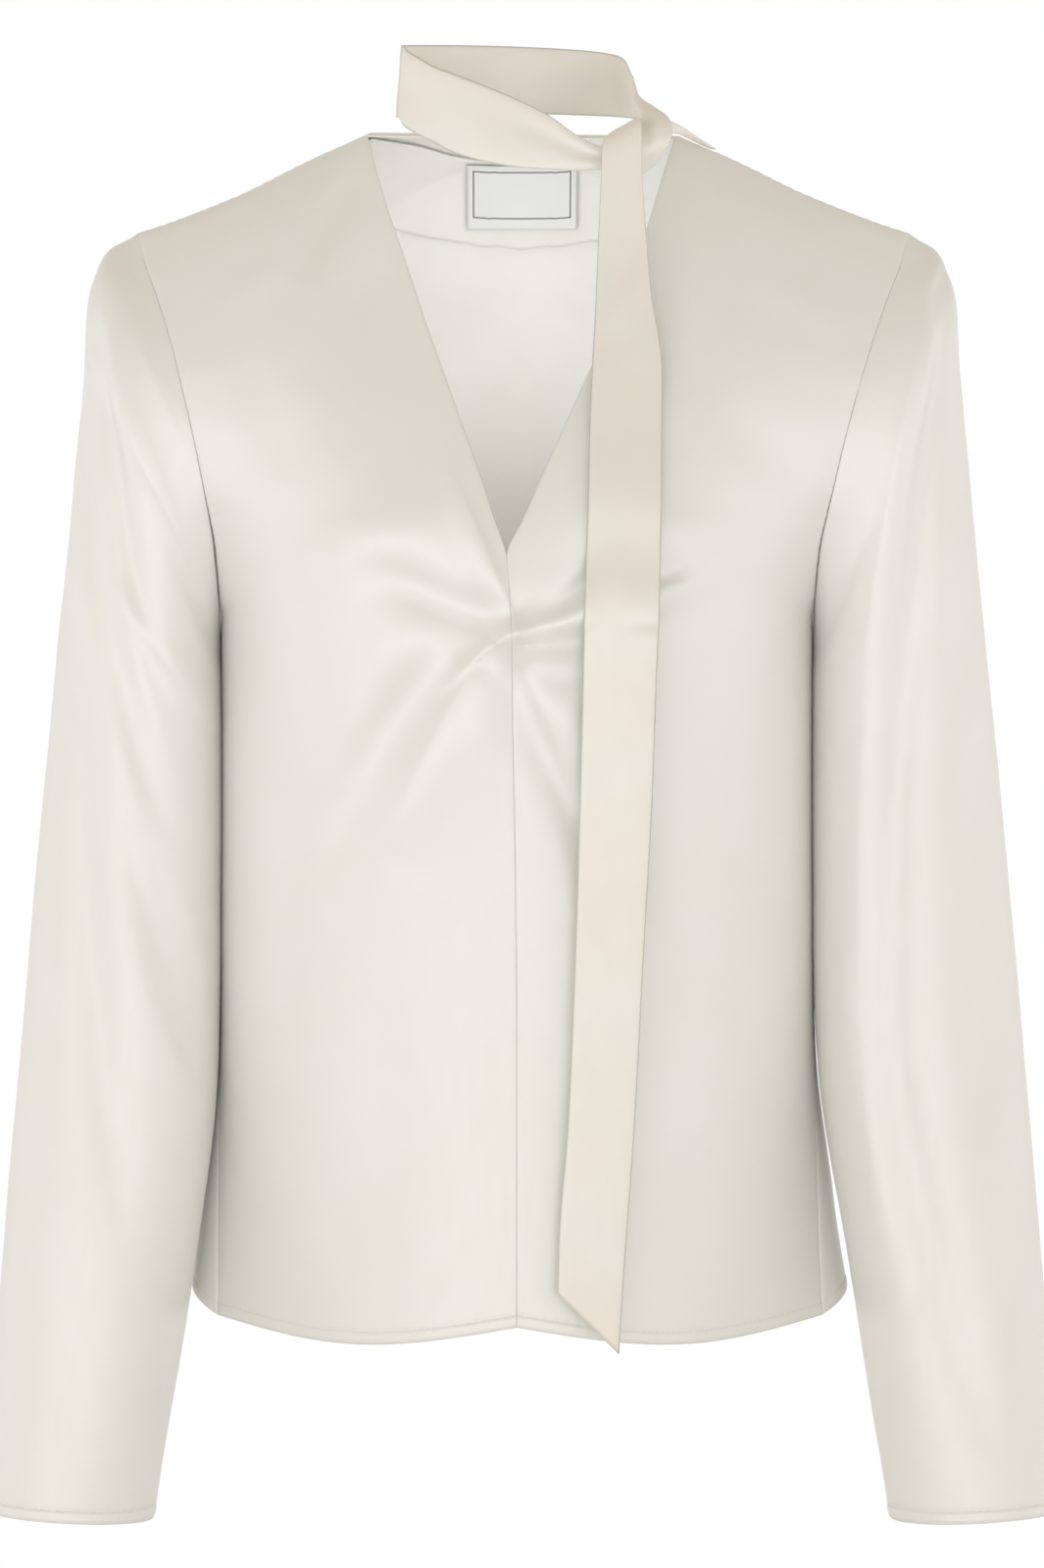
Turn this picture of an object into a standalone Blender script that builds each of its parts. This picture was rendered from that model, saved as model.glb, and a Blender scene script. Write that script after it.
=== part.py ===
"""A satin blouse with a neck tie, filled out as if worn.

Metres, +Z up. X = 0 is the middle, the wearer's left is +X, the front faces -Y, and Z = 0 is the point
where the neck meets the shoulder seam. Tables are in millimetres. A panel is a grid: each table row is one
section line, from the panel's inner edge (the middle or the neckline) to its outer edge (the side seam or
the armhole), and u runs along the line from 0 to 1. The lines between the rows come from a smooth curve.
"""
import bmesh
import bpy
import numpy as np

MM = 0.001
WALL = 1.3
SEAM_GAP = 1.0
SHOULDER_GAP = 1.6
TAIL_GAP = 0.9
RIGHT = -1
LEFT = 1
CLOTH = (0.80, 0.77, 0.69, 1.0)
CLOTH_INSIDE = (0.76, 0.73, 0.66, 1.0)
LABEL_WHITE = (0.82, 0.83, 0.80, 1.0)

# How far along a section line its two inner handles reach
INNER_REACH = 0.42
OUTER_REACH = 0.55
# How much of a line's drop is left for its outer handle
OUTER_DROP = 0.6
# The share of a panel, next to its outer seam, over which its folds die out
FADE_SHARE = 0.22
# A fold's strength along its line: where on a half wave it starts, how much of it follows, and its power
FOLD_START = 0.12
FOLD_SPAN = 0.84
FOLD_POWER = 0.8
# An edge that is drawn in for a seam gap stays outside this share of its grid step
MOST_OF_STEP = 0.6

# The front, from the hem up to the shoulder seam. The middle point's depth and height, its place on the
# wearer's right and left panel, the outer point, the angle at which the line arrives there (90 is straight
# back), how far the line swells forward, how far it sags, and how far the body leans to one side.
FRONT_COLUMNS = ("mid_y", "mid_z", "right_x", "left_x", "out_x", "out_y", "out_z", "angle", "crown", "sag", "lean")
FRONT_ROWS = (
    (-114.0, -574.0, -2.4, -2.4, 147.5, -10.0, -577.0, 56.0, 2.0, -9.0, -1.0),
    (-112.0, -520.0, -2.4, -2.4, 147.0, -2.0, -521.0, 66.0, 2.0, -3.0, -2.0),
    (-110.0, -440.0, -2.4, -2.4, 145.5, 2.0, -441.0, 84.0, 2.0, 0.0, -2.4),
    (-112.5, -365.0, -3.0, -3.0, 144.8, 2.0, -366.0, 90.0, 3.0, 0.0, -2.5),
    (-117.0, -305.0, -4.0, -4.0, 144.5, 1.0, -303.0, 90.0, 5.0, 0.0, -2.5),
    (-120.0, -252.0, -4.8, -4.8, 144.5, 0.0, -245.3, 90.0, 7.0, 0.0, -2.5),
    (-118.5, -230.0, -5.6, -5.6, 144.8, -27.0, -226.0, 74.0, 8.0, 0.0, -2.4),
    (-115.0, -211.0, -7.2, -7.2, 146.0, -47.0, -204.0, 62.0, 8.0, 0.0, -2.2),
    (-111.0, -193.5, -12.6, 0.1, 148.3, -55.5, -190.0, 56.0, 8.0, 0.0, -1.9),
    (-105.5, -176.0, -18.0, 7.5, 151.5, -61.0, -175.0, 50.0, 8.0, 0.0, -1.6),
    (-90.0, -138.0, -31.4, 24.5, 156.5, -63.0, -152.0, 42.0, 8.0, 0.0, -1.2),
    (-71.0, -98.0, -45.5, 42.0, 162.8, -59.0, -127.0, 36.0, 7.0, 0.0, -0.8),
    (-54.0, -66.0, -56.0, 54.8, 168.5, -50.0, -107.0, 30.0, 6.0, 0.0, -0.2),
    (-39.0, -40.0, -64.8, 63.2, 176.0, -35.0, -85.0, 24.0, 4.0, 1.0, 0.2),
    (-19.0, -17.0, -71.4, 70.0, 184.5, -16.0, -63.5, 14.0, 2.0, 2.0, 0.5),
    (5.0, 0.0, -76.0, 76.0, 190.0, 5.0, -48.0, 4.0, 0.0, 2.0, 0.7),
)
FRONT_UNDERARM = 5
FRONT_TOP = 15

# The back, from the shoulder seam down to the hem. "fall" is how much of the line's drop starts at once.
BACK_COLUMNS = ("mid_x", "mid_y", "mid_z", "out_x", "out_y", "out_z", "angle", "crown", "sag", "lean", "fall")
BACK_ROWS = (
    (76.0, 5.0, 0.0, 190.0, 5.0, -48.0, 4.0, 0.0, 2.0, 0.7, 1.0),
    (72.0, 26.0, 3.0, 186.5, 29.0, -63.0, 14.0, 2.0, 2.0, 0.5, 0.9),
    (55.0, 46.0, 2.0, 180.0, 52.0, -86.0, 24.0, 3.0, 2.0, 0.2, 0.7),
    (31.0, 60.0, -3.0, 174.0, 67.0, -108.0, 32.0, 4.0, 2.0, -0.2, 0.4),
    (0.0, 67.0, -6.0, 168.0, 74.0, -128.0, 38.0, 5.0, 2.0, -0.8, 0.0),
    (0.0, 84.0, -48.0, 161.5, 76.0, -152.0, 44.0, 6.0, 1.0, -1.2, 0.0),
    (0.0, 96.0, -95.0, 155.0, 70.0, -177.0, 52.0, 6.0, 0.0, -1.6, 0.0),
    (0.0, 103.0, -150.0, 148.5, 52.0, -205.0, 64.0, 5.0, 0.0, -2.2, 0.0),
    (0.0, 106.0, -190.0, 145.2, 30.0, -227.0, 76.0, 4.0, 0.0, -2.4, 0.0),
    (0.0, 107.0, -222.0, 144.5, 0.0, -245.3, 90.0, 3.0, 0.0, -2.5, 0.0),
    (0.0, 102.0, -290.0, 144.5, 1.0, -303.0, 90.0, 3.0, 0.0, -2.5, 0.0),
    (0.0, 96.0, -360.0, 144.8, 2.0, -366.0, 90.0, 2.0, 0.0, -2.5, 0.0),
    (0.0, 94.0, -440.0, 145.5, 2.0, -441.0, 98.0, 2.0, 0.0, -2.4, 0.0),
    (0.0, 101.0, -520.0, 147.0, -2.0, -521.0, 122.0, 1.0, 2.0, -2.0, 0.0),
    (0.0, 111.0, -588.0, 147.5, -10.0, -577.0, 136.0, 0.0, 19.0, -1.0, 0.0),
)
BACK_NECK = 4
# How fast each height still rises, a row, where front and back meet over the shoulder
SHOULDER_SLOPES = {"mid_z": 6.0, "out_z": 0.0}
# The neckline's direction where it crosses the middle of the back, a row
NECK_SLOPES = {"mid_x": -33.0, "mid_y": 2.0, "mid_z": 0.0}
# A power that moves the back lines' sag out towards the side seams
BACK_SAG_PLACE = 1.8
BACK_UNDERARM = 9

# Sleeve rings below the armhole: the ring's point next to the body, its outermost point, the middle of its
# depth, half its depth, and how far the point next to the body leans with the body.
RING_COLUMNS = ("in_x", "in_z", "out_x", "out_z", "mid_y", "half_y", "lean")
RING_ROWS = (
    (146.2, -253.0, 209.0, -71.0, 4.0, 66.0, -2.5),
    (147.2, -271.0, 215.0, -118.0, 1.0, 61.0, -2.5),
    (147.6, -305.0, 221.0, -190.0, -1.0, 56.0, -2.5),
    (147.8, -350.0, 228.0, -262.0, -2.0, 53.5, -2.5),
    (148.0, -402.0, 236.0, -345.0, -3.5, 52.5, -2.4),
    (148.6, -455.0, 242.8, -425.0, -6.0, 52.0, -2.0),
    (151.5, -502.0, 248.2, -488.0, -9.0, 51.5, -0.8),
    (159.0, -548.0, 252.6, -545.0, -12.0, 51.0, 0.0),
    (167.0, -600.0, 257.0, -598.0, -16.0, 50.5, 0.0),
    (173.8, -641.0, 260.0, -638.0, -19.0, 50.0, 0.0),
    (178.6, -674.0, 262.2, -669.0, -21.0, 49.5, 0.0),
)

# Large folds. A fold's line runs from its start past its bend to its end, in front view: x1, z1, bend_x,
# bend_z, x2, z2, then how far it stands out (a trough is negative) and how far it reaches to each side.
FRONT_FOLDS = (
    (-3.0, -247.0, -40.0, -232.0, -86.0, -219.0, -5.0, 13.0),
    (-8.0, -251.0, -38.0, -272.0, -58.0, -366.0, -6.0, 14.0),
    (-6.0, -262.0, 16.0, -312.0, 70.0, -408.0, -5.0, 14.0),
    (-4.0, -251.0, 30.0, -243.0, 88.0, -220.0, 5.0, 9.0),
    (-2.0, -268.0, 24.0, -262.0, 60.0, -266.0, -3.0, 12.0),
    (-27.0, -172.0, -24.0, -214.0, -4.0, -238.0, 3.0, 9.0),
    (-16.0, -248.0, -4.8, -247.0, 8.0, -249.0, 4.0, 9.0),
    (-100.0, -62.0, -92.0, -40.0, -80.0, -24.0, -2.5, 12.0),
    (-86.0, -96.0, -74.0, -78.0, -62.0, -70.0, -2.0, 11.0),
    (128.0, -160.0, 140.0, -184.0, 146.0, -206.0, -3.0, 10.0),
    (104.0, -312.0, 112.0, -390.0, 108.0, -470.0, -2.5, 14.0),
    (-112.0, -330.0, -120.0, -410.0, -112.0, -500.0, -2.5, 16.0),
)
BACK_FOLDS = (
    (-118.0, -150.0, -92.0, -196.0, -60.0, -232.0, -4.0, 15.0),
    (116.0, -158.0, 96.0, -206.0, 70.0, -246.0, -4.5, 14.0),
    (-54.0, -300.0, -62.0, -400.0, -74.0, -520.0, -5.0, 20.0),
    (40.0, -330.0, 50.0, -420.0, 58.0, -560.0, -6.0, 21.0),
    (-6.0, -380.0, -12.0, -460.0, -8.0, -585.0, 5.0, 20.0),
    (100.0, -300.0, 108.0, -400.0, 100.0, -540.0, 4.0, 16.0),
    (-104.0, -330.0, -114.0, -430.0, -116.0, -560.0, 5.0, 18.0),
    (-60.0, -60.0, 0.0, -72.0, 64.0, -58.0, -2.5, 14.0),
)
# A sleeve's folds run along the ring (0 next to the body, 0.25 in front, 0.5 outside, 0.75 behind) and
# down the sleeve (0 at the armhole, 1 at the cuff): around1, down1, around_bend, down_bend, around2, down2,
# then height and width in millimetres as above.
RIGHT_SLEEVE_FOLDS = (
    (0.42, 0.10, 0.32, 0.20, 0.20, 0.30, -5.0, 12.0),
    (0.44, 0.20, 0.32, 0.30, 0.18, 0.40, -5.0, 12.0),
    (0.40, 0.33, 0.30, 0.48, 0.22, 0.66, -6.0, 13.0),
    (0.24, 0.42, 0.16, 0.48, 0.08, 0.54, -4.0, 11.0),
    (0.60, 0.14, 0.72, 0.26, 0.84, 0.36, -5.0, 13.0),
    (0.62, 0.36, 0.72, 0.50, 0.84, 0.62, -5.0, 14.0),
    (0.66, 0.62, 0.72, 0.74, 0.80, 0.86, -3.0, 13.0),
)
LEFT_SLEEVE_FOLDS = (
    (0.42, 0.08, 0.24, 0.26, 0.19, 0.52, -7.0, 12.0),
    (0.19, 0.50, 0.20, 0.66, 0.26, 0.88, -5.0, 12.0),
    (0.40, 0.40, 0.36, 0.52, 0.33, 0.64, -3.0, 12.0),
    (0.58, 0.14, 0.74, 0.28, 0.84, 0.42, -6.0, 13.0),
    (0.62, 0.42, 0.70, 0.56, 0.80, 0.72, -4.0, 14.0),
)

# A sleeve's set-out from the armhole, the girth and length its folds are measured on, the shares of its
# length over which they die out at the top and at the cuff, and how soon they do at the inner line
SLEEVE_SET_OUT = 0.4
SLEEVE_GIRTH = 300.0
SLEEVE_LENGTH = 560.0
SLEEVE_TOP_FADE = 0.08
SLEEVE_CUFF_FADE = 0.06
SLEEVE_INNER_FADE = 3.0

# The neck facing and the label sewn to it
FACING_DEPTH = 46.0
# How much deeper the facing is at the shoulder seams than in the middle
FACING_SIDE_DEPTH = 12.0
FACING_END_GAP = 1.6
FACING_TOP_GAP = 1.0
FACING_GAP = 1.6
# The facing stands this much further off where the back rolls over the shoulder
FACING_TURN_GAP = 0.8
FACING_SUBSTEPS = 12
# The step, in u and in rows, over which the back's directions are measured
SURFACE_STEP = 0.01
LABEL_WIDTH = 55.0
LABEL_TOP = -9.5
LABEL_HEIGHT = 30.5
LABEL_WALL = 1.0
LABEL_GAP = 2.6

# The tie. Each row is one section across the band: the point on its upper (or right) edge and the point
# on its lower (or left) edge, x1, y1, z1, x2, y2, z2.
TIE_WALL = 1.3
TIE_FRONT_ROWS = (
    (-58.4, 1.5, 43.6, -61.0, 1.5, 8.2),
    (-56.0, -11.0, 39.5, -58.0, -12.0, 2.5),
    (-51.0, -22.0, 35.4, -52.0, -23.0, -2.2),
    (-43.0, -33.0, 29.6, -43.0, -34.0, -7.6),
    (-33.0, -41.0, 25.0, -33.0, -43.0, -13.6),
    (-20.0, -46.0, 19.6, -20.0, -49.0, -18.0),
    (-3.0, -50.0, 12.1, -3.0, -54.0, -21.4),
    (13.0, -52.5, 3.7, 13.0, -56.0, -22.7),
    (27.0, -54.0, -6.2, 27.0, -57.0, -23.4),
    (38.0, -54.0, -11.0, 38.0, -56.0, -23.0),
    (49.0, -51.5, -8.0, 48.0, -53.0, -21.0),
    (60.0, -46.0, -2.0, 58.0, -48.0, -15.0),
    (69.0, -34.0, 3.5, 66.5, -37.0, -6.0),
    (79.0, -18.0, 1.6, 74.0, -24.0, -2.6),
    (95.0, 6.0, -7.2, 82.0, -1.0, -2.4),
)
TIE_BACK_ROWS = (
    (-58.4, 2.2, 43.7, -61.0, 2.2, 8.4),
    (-56.0, 22.0, 46.4, -58.0, 22.0, 10.8),
    (-44.0, 45.0, 49.2, -45.0, 46.0, 14.0),
    (-21.0, 60.0, 50.8, -21.0, 61.0, 16.2),
    (5.0, 64.0, 50.4, 5.0, 65.0, 17.0),
    (28.0, 57.0, 48.2, 28.5, 58.0, 15.6),
    (43.0, 41.0, 44.4, 44.0, 42.0, 13.2),
    (49.8, 24.0, 39.6, 51.5, 24.0, 10.5),
    (53.2, 6.0, 30.0, 57.0, 6.0, 8.0),
)
TIE_HITCH_ROWS = (
    (53.5, 5.2, 29.4, 57.2, 5.2, 7.6),
    (56.6, -14.0, 17.5, 57.4, -16.0, 4.5),
    (63.6, -32.0, 10.8, 57.0, -36.0, 3.0),
    (70.5, -46.0, 4.0, 56.4, -50.0, -1.5),
    (72.5, -53.0, -3.5, 56.0, -57.8, -8.0),
    (71.0, -55.0, -10.5, 56.0, -59.2, -16.0),
    (67.0, -50.0, -17.5, 55.0, -55.0, -24.0),
    (61.5, -42.5, -20.0, 51.0, -46.0, -28.0),
    (56.5, -39.5, -12.0, 46.0, -42.0, -24.0),
    (54.5, -39.5, -3.0, 43.0, -42.5, -12.0),
)
TIE_TAIL_ROWS = (
    (54.4, -40.6, -1.8, 42.0, -43.6, -10.6),
    (55.4, -47.5, 3.4, 39.6, -51.5, -6.8),
    (57.4, -61.5, -2.0, 38.2, -63.0, -12.5),
    (57.8, -66.0, -27.0, 37.6, -67.0, -30.0),
    (60.0, -71.0, -60.0, 36.2, -73.0, -61.0),
    (62.0, -77.0, -84.0, 35.2, -79.5, -84.0),
    (65.2, -84.0, -104.0, 34.2, -86.5, -104.0),
    (66.8, -90.0, -120.0, 33.2, -92.5, -120.0),
    (66.4, -100.0, -151.0, 31.8, -103.0, -151.0),
    (65.8, -110.0, -189.0, 30.8, -113.0, -189.0),
    (64.7, -119.5, -235.0, 29.2, -124.0, -235.0),
    (64.2, -121.0, -252.0, 28.8, -124.5, -252.0),
    (63.2, -121.0, -275.0, 28.3, -123.5, -275.0),
    (61.4, -119.5, -327.0, 27.0, -121.0, -327.0),
    (57.3, -117.0, -401.0, 24.8, -118.0, -401.0),
    (53.2, -115.0, -479.0, 21.6, -117.0, -476.0),
    (48.8, -116.0, -540.0, 17.8, -118.0, -522.0),
    (45.8, -118.0, -586.4, 16.6, -120.0, -557.4),
)

# The hanging end may touch the panel under the first height; below the second it hangs past the hem
TAIL_TOUCHES = -100.0
TAIL_HEM = -566.0
# The part of the panel that the hanging end is laid on, and how many samples of it are taken
TAIL_SAMPLES = {"reach": 0.6, "across": 61, "top_row": 12.0, "along": 241}

# A depth is read from this many samples; those closer to one line than the share give no slope across it
NEAR_SAMPLES = 8
FLAT_SHARE = 0.1

# Grid steps: along a section line, per table row, round the tie
FRONT_ACROSS = 13
BACK_ACROSS = 13
ROW_STEPS_LOW = 2
ROW_STEPS_HIGH = 2
RING_STEPS = 2
TIE_ACROSS = 3
TIE_STEPS = 2
FACING_STEPS = (5, 12)
LABEL_STEPS = (8, 5)
LABEL_SAMPLES = (24, 40)


def column(rows, columns, name):
    """One column of a table as an array."""
    return np.array([row[columns.index(name)] for row in rows], float)


def smooth(values, at, first_slope=None, last_slope=None):
    """A curve through evenly numbered values that never overshoots them, read at fractional numbers."""
    values = np.asarray(values, float)
    at = np.clip(np.asarray(at, float), 0.0, len(values) - 1.0)
    steps = np.diff(values)
    slopes = np.empty(len(values))
    slopes[0] = steps[0] if first_slope is None else first_slope
    slopes[-1] = steps[-1] if last_slope is None else last_slope
    before, after = steps[:-1], steps[1:]
    same_way = before * after > 0
    total = np.where(same_way, before + after, 1.0)
    slopes[1:-1] = np.where(same_way, 2.0 * before * after / total, 0.0)
    first = np.minimum(at.astype(int), len(values) - 2)
    t = at - first
    start, end = values[first], values[first + 1]
    rise, arrive = slopes[first], slopes[first + 1]
    return (
        start * (1 + 2 * t) * (1 - t) ** 2
        + rise * t * (1 - t) ** 2
        + end * t * t * (3 - 2 * t)
        + arrive * t * t * (t - 1)
    )


def flowing(values, at):
    """A smooth curve through evenly numbered values with the slope of their neighbours."""
    values = np.asarray(values, float)
    at = np.clip(np.asarray(at, float), 0.0, len(values) - 1.0)
    slopes = np.gradient(values, axis=0)
    first = np.minimum(at.astype(int), len(values) - 2)
    t = (at - first).reshape((-1,) + (1,) * (values.ndim - 1))
    return (
        values[first] * (1 + 2 * t) * (1 - t) ** 2
        + slopes[first] * t * (1 - t) ** 2
        + values[first + 1] * t * t * (3 - 2 * t)
        + slopes[first + 1] * t * t * (t - 1)
    )


def curve_point(inner, inner_handle, outer_handle, outer, u):
    """A point on a section line, which is a cubic curve between its inner and outer point."""
    return (
        inner * (1 - u) ** 3
        + 3 * inner_handle * u * (1 - u) ** 2
        + 3 * outer_handle * u * u * (1 - u)
        + outer * u ** 3
    )


def section(mid, out, angle, crown, sag, fall, sag_place, u):
    """Points along a section line from mid to out, each an (x, y, z) of arrays."""
    turn = np.radians(angle)
    reach = (out[0] - mid[0], out[1] - mid[1], out[2] - mid[2])
    x = curve_point(mid[0], mid[0] + INNER_REACH * reach[0],
                    out[0] - OUTER_REACH * reach[0] * np.cos(turn), out[0], u)
    y = curve_point(mid[1], mid[1], out[1] - OUTER_REACH * reach[1] * np.sin(turn), out[1], u)
    z = curve_point(mid[2], mid[2] + INNER_REACH * reach[2] * fall,
                    out[2] - OUTER_REACH * reach[2] * OUTER_DROP, out[2], u)
    swell = np.sin(np.pi * np.clip(u, 0.0, 1.0))
    return x, y + crown * swell, z + sag * np.sin(np.pi * np.clip(u, 0.0, 1.0) ** sag_place)


def fold_field(folds, x, z):
    """How far the folds move the cloth out at points of the front view."""
    moved = np.zeros(np.shape(x))
    along = np.linspace(0.0, 1.0, 21)
    for x1, z1, bend_x, bend_z, x2, z2, height, width in folds:
        line_x = (1 - along) ** 2 * x1 + 2 * along * (1 - along) * bend_x + along ** 2 * x2
        line_z = (1 - along) ** 2 * z1 + 2 * along * (1 - along) * bend_z + along ** 2 * z2
        gap = (np.asarray(x)[..., None] - line_x) ** 2 + (np.asarray(z)[..., None] - line_z) ** 2
        nearest = np.argmin(gap, axis=-1)
        strength = np.sin(np.pi * (FOLD_START + FOLD_SPAN * along[nearest])) ** FOLD_POWER
        moved = moved + height * strength * np.exp(-np.min(gap, axis=-1) / width ** 2)
    return moved


def side_fade(u):
    """1 over a panel and 0 at its outer seam, so that folds leave the seams alone."""
    share = np.clip((1.0 - u) / FADE_SHARE, 0.0, 1.0)
    return share ** 2 * (3 - 2 * share)


def front_point(side, u, row):
    """A point of a front panel's outer face: u across, row in the table's numbering."""
    u, row = np.broadcast_arrays(np.asarray(u, float), np.asarray(row, float))
    value = {}
    for name in FRONT_COLUMNS:
        numbers = column(FRONT_ROWS, FRONT_COLUMNS, name)
        value[name] = smooth(numbers, row, last_slope=SHOULDER_SLOPES.get(name))
    mid_x = value["right_x"] if side == RIGHT else value["left_x"]
    mid = (mid_x, value["mid_y"], value["mid_z"])
    out = (side * value["out_x"] + value["lean"], value["out_y"], value["out_z"])
    x, y, z = section(mid, out, value["angle"], -value["crown"], value["sag"], 1.0, 1.0, u)
    y = y - fold_field(FRONT_FOLDS, x, z) * side_fade(u)
    return np.stack([x, y, z], axis=-1)


def back_point(side, u, row):
    """A point of one half of the back's outer face."""
    u, row = np.broadcast_arrays(np.asarray(u, float), np.asarray(row, float))
    value = {}
    for name in BACK_COLUMNS:
        numbers = column(BACK_ROWS, BACK_COLUMNS, name)
        value[name] = smooth(numbers, row, first_slope=SHOULDER_SLOPES.get(name))
        if name in NECK_SLOPES:
            on_neck = smooth(numbers[:BACK_NECK + 1], row, SHOULDER_SLOPES.get(name), NECK_SLOPES[name])
            below = smooth(numbers[BACK_NECK:], row - BACK_NECK)
            value[name] = np.where(row < BACK_NECK, on_neck, below)
    mid = (side * value["mid_x"], value["mid_y"], value["mid_z"])
    out = (side * value["out_x"] + value["lean"], value["out_y"], value["out_z"])
    x, y, z = section(mid, out, value["angle"], value["crown"], value["sag"], value["fall"], BACK_SAG_PLACE, u)
    y = y + fold_field(BACK_FOLDS, x, z) * side_fade(u)
    return np.stack([x, y, z], axis=-1)


def pulled_back(points, ends, amount):
    """A grid with the named edges drawn in along its own lines, which leaves the seam gaps."""
    points = points.copy()
    for end in ends:
        if end == "first column":
            edge, inner = (slice(None), 0), (slice(None), 1)
        elif end == "last column":
            edge, inner = (slice(None), -1), (slice(None), -2)
        elif end == "first row":
            edge, inner = (0, slice(None)), (1, slice(None))
        else:
            edge, inner = (-1, slice(None)), (-2, slice(None))
        step = points[inner] - points[edge]
        length = np.linalg.norm(step, axis=-1, keepdims=True)
        points[edge] = points[edge] + step * np.minimum(amount / length, MOST_OF_STEP)
    return points


def row_numbers(first, last, steps):
    """Fractional row numbers from first to last, with this many steps a row."""
    return np.linspace(first, last, (last - first) * steps + 1)


def new_object(name, colour, collection):
    """An empty mesh object in the collection, with its own cloth material."""
    mesh = bpy.data.meshes.new(name)
    made = bpy.data.objects.new(name, mesh)
    collection.objects.link(made)
    material = bpy.data.materials.new(name + "_cloth")
    material.use_nodes = True
    shader = material.node_tree.nodes["Principled BSDF"]
    shader.inputs["Base Color"].default_value = colour
    shader.inputs["Roughness"].default_value = 0.42
    shader.inputs["Metallic"].default_value = 0.0
    mesh.materials.append(material)
    return made


def add_grid(work, points, flip):
    """Adds a plain grid to the bmesh and moves its corners to the points, rows by columns."""
    rows, columns = points.shape[:2]
    made = bmesh.ops.create_grid(work, x_segments=columns - 1, y_segments=rows - 1, size=1.0)
    corners = made["verts"]
    for index, corner in enumerate(corners):
        corner.co = points[index // columns, index % columns] * MM
    if flip:
        faces = list({face for corner in corners for face in corner.link_faces})
        bmesh.ops.reverse_faces(work, faces=faces)


def cloth_object(name, grids, colour, collection, wall, flip):
    """One piece of cloth: its outer faces as grids, welded where they meet, and Solidify for the wall."""
    made = new_object(name, colour, collection)
    work = bmesh.new()
    for points in grids:
        add_grid(work, points, flip)
    bmesh.ops.remove_doubles(work, verts=work.verts, dist=0.00001)
    work.to_mesh(made.data)
    work.free()
    made.data.shade_smooth()
    solid = made.modifiers.new("wall", "SOLIDIFY")
    solid.thickness = wall * MM
    solid.offset = -1.0
    solid.use_rim = True
    return made


def front_grid(side, across, low_steps, high_steps):
    """A front panel's outer face as rows of points, hem first."""
    rows = np.concatenate([
        row_numbers(0, FRONT_UNDERARM, low_steps)[:-1],
        row_numbers(FRONT_UNDERARM, FRONT_TOP, high_steps),
    ])
    u = np.linspace(0.0, 1.0, across + 1)
    points = front_point(side, u[None, :], rows[:, None])
    points = pulled_back(points, ("first column", "last column"), SEAM_GAP / 2)
    return pulled_back(points, ("last row",), SHOULDER_GAP / 2)


def back_grid(side, across, high_steps, low_steps):
    """Half of the back's outer face as rows of points, shoulder first."""
    rows = np.concatenate([
        row_numbers(0, BACK_UNDERARM, high_steps)[:-1],
        row_numbers(BACK_UNDERARM, len(BACK_ROWS) - 1, low_steps),
    ])
    u = np.linspace(0.0, 1.0, across + 1)
    points = back_point(side, u[None, :], rows[:, None])
    points = pulled_back(points, ("last column",), SEAM_GAP / 2)
    return pulled_back(points, ("first row",), SHOULDER_GAP / 2)


def armhole(side, steps):
    """The armhole as a closed loop: from the underarm up the front to the shoulder and down the back."""
    front = front_point(side, 1.0, row_numbers(FRONT_UNDERARM, FRONT_TOP, steps))
    back = back_point(side, 1.0, row_numbers(0, BACK_UNDERARM, steps))
    return np.concatenate([front, back[1:]])


def ring(side, number, around):
    """A sleeve ring at a fractional row number."""
    value = {}
    for name in RING_COLUMNS:
        value[name] = flowing(column(RING_ROWS, RING_COLUMNS, name), number)
    inner = np.array([side * value["in_x"] + value["lean"], value["in_z"]])
    outer = np.array([side * value["out_x"], value["out_z"]])
    turn = 2 * np.pi * around
    share = (1 - np.cos(turn)) / 2
    x = inner[0] + (outer[0] - inner[0]) * share
    z = inner[1] + (outer[1] - inner[1]) * share
    y = value["mid_y"] - value["half_y"] * np.sin(turn)
    return np.stack([x, y, z], axis=-1)


def sleeve_folds(side, around, down, girth, length):
    """How far a sleeve's folds move its cloth out."""
    folds = RIGHT_SLEEVE_FOLDS if side == RIGHT else LEFT_SLEEVE_FOLDS
    on_sleeve = []
    for around1, down1, around_bend, down_bend, around2, down2, height, width in folds:
        on_sleeve.append((around1 * girth, down1 * length, around_bend * girth, down_bend * length,
                          around2 * girth, down2 * length, height, width))
    return fold_field(on_sleeve, around * girth, down * length)


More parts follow.
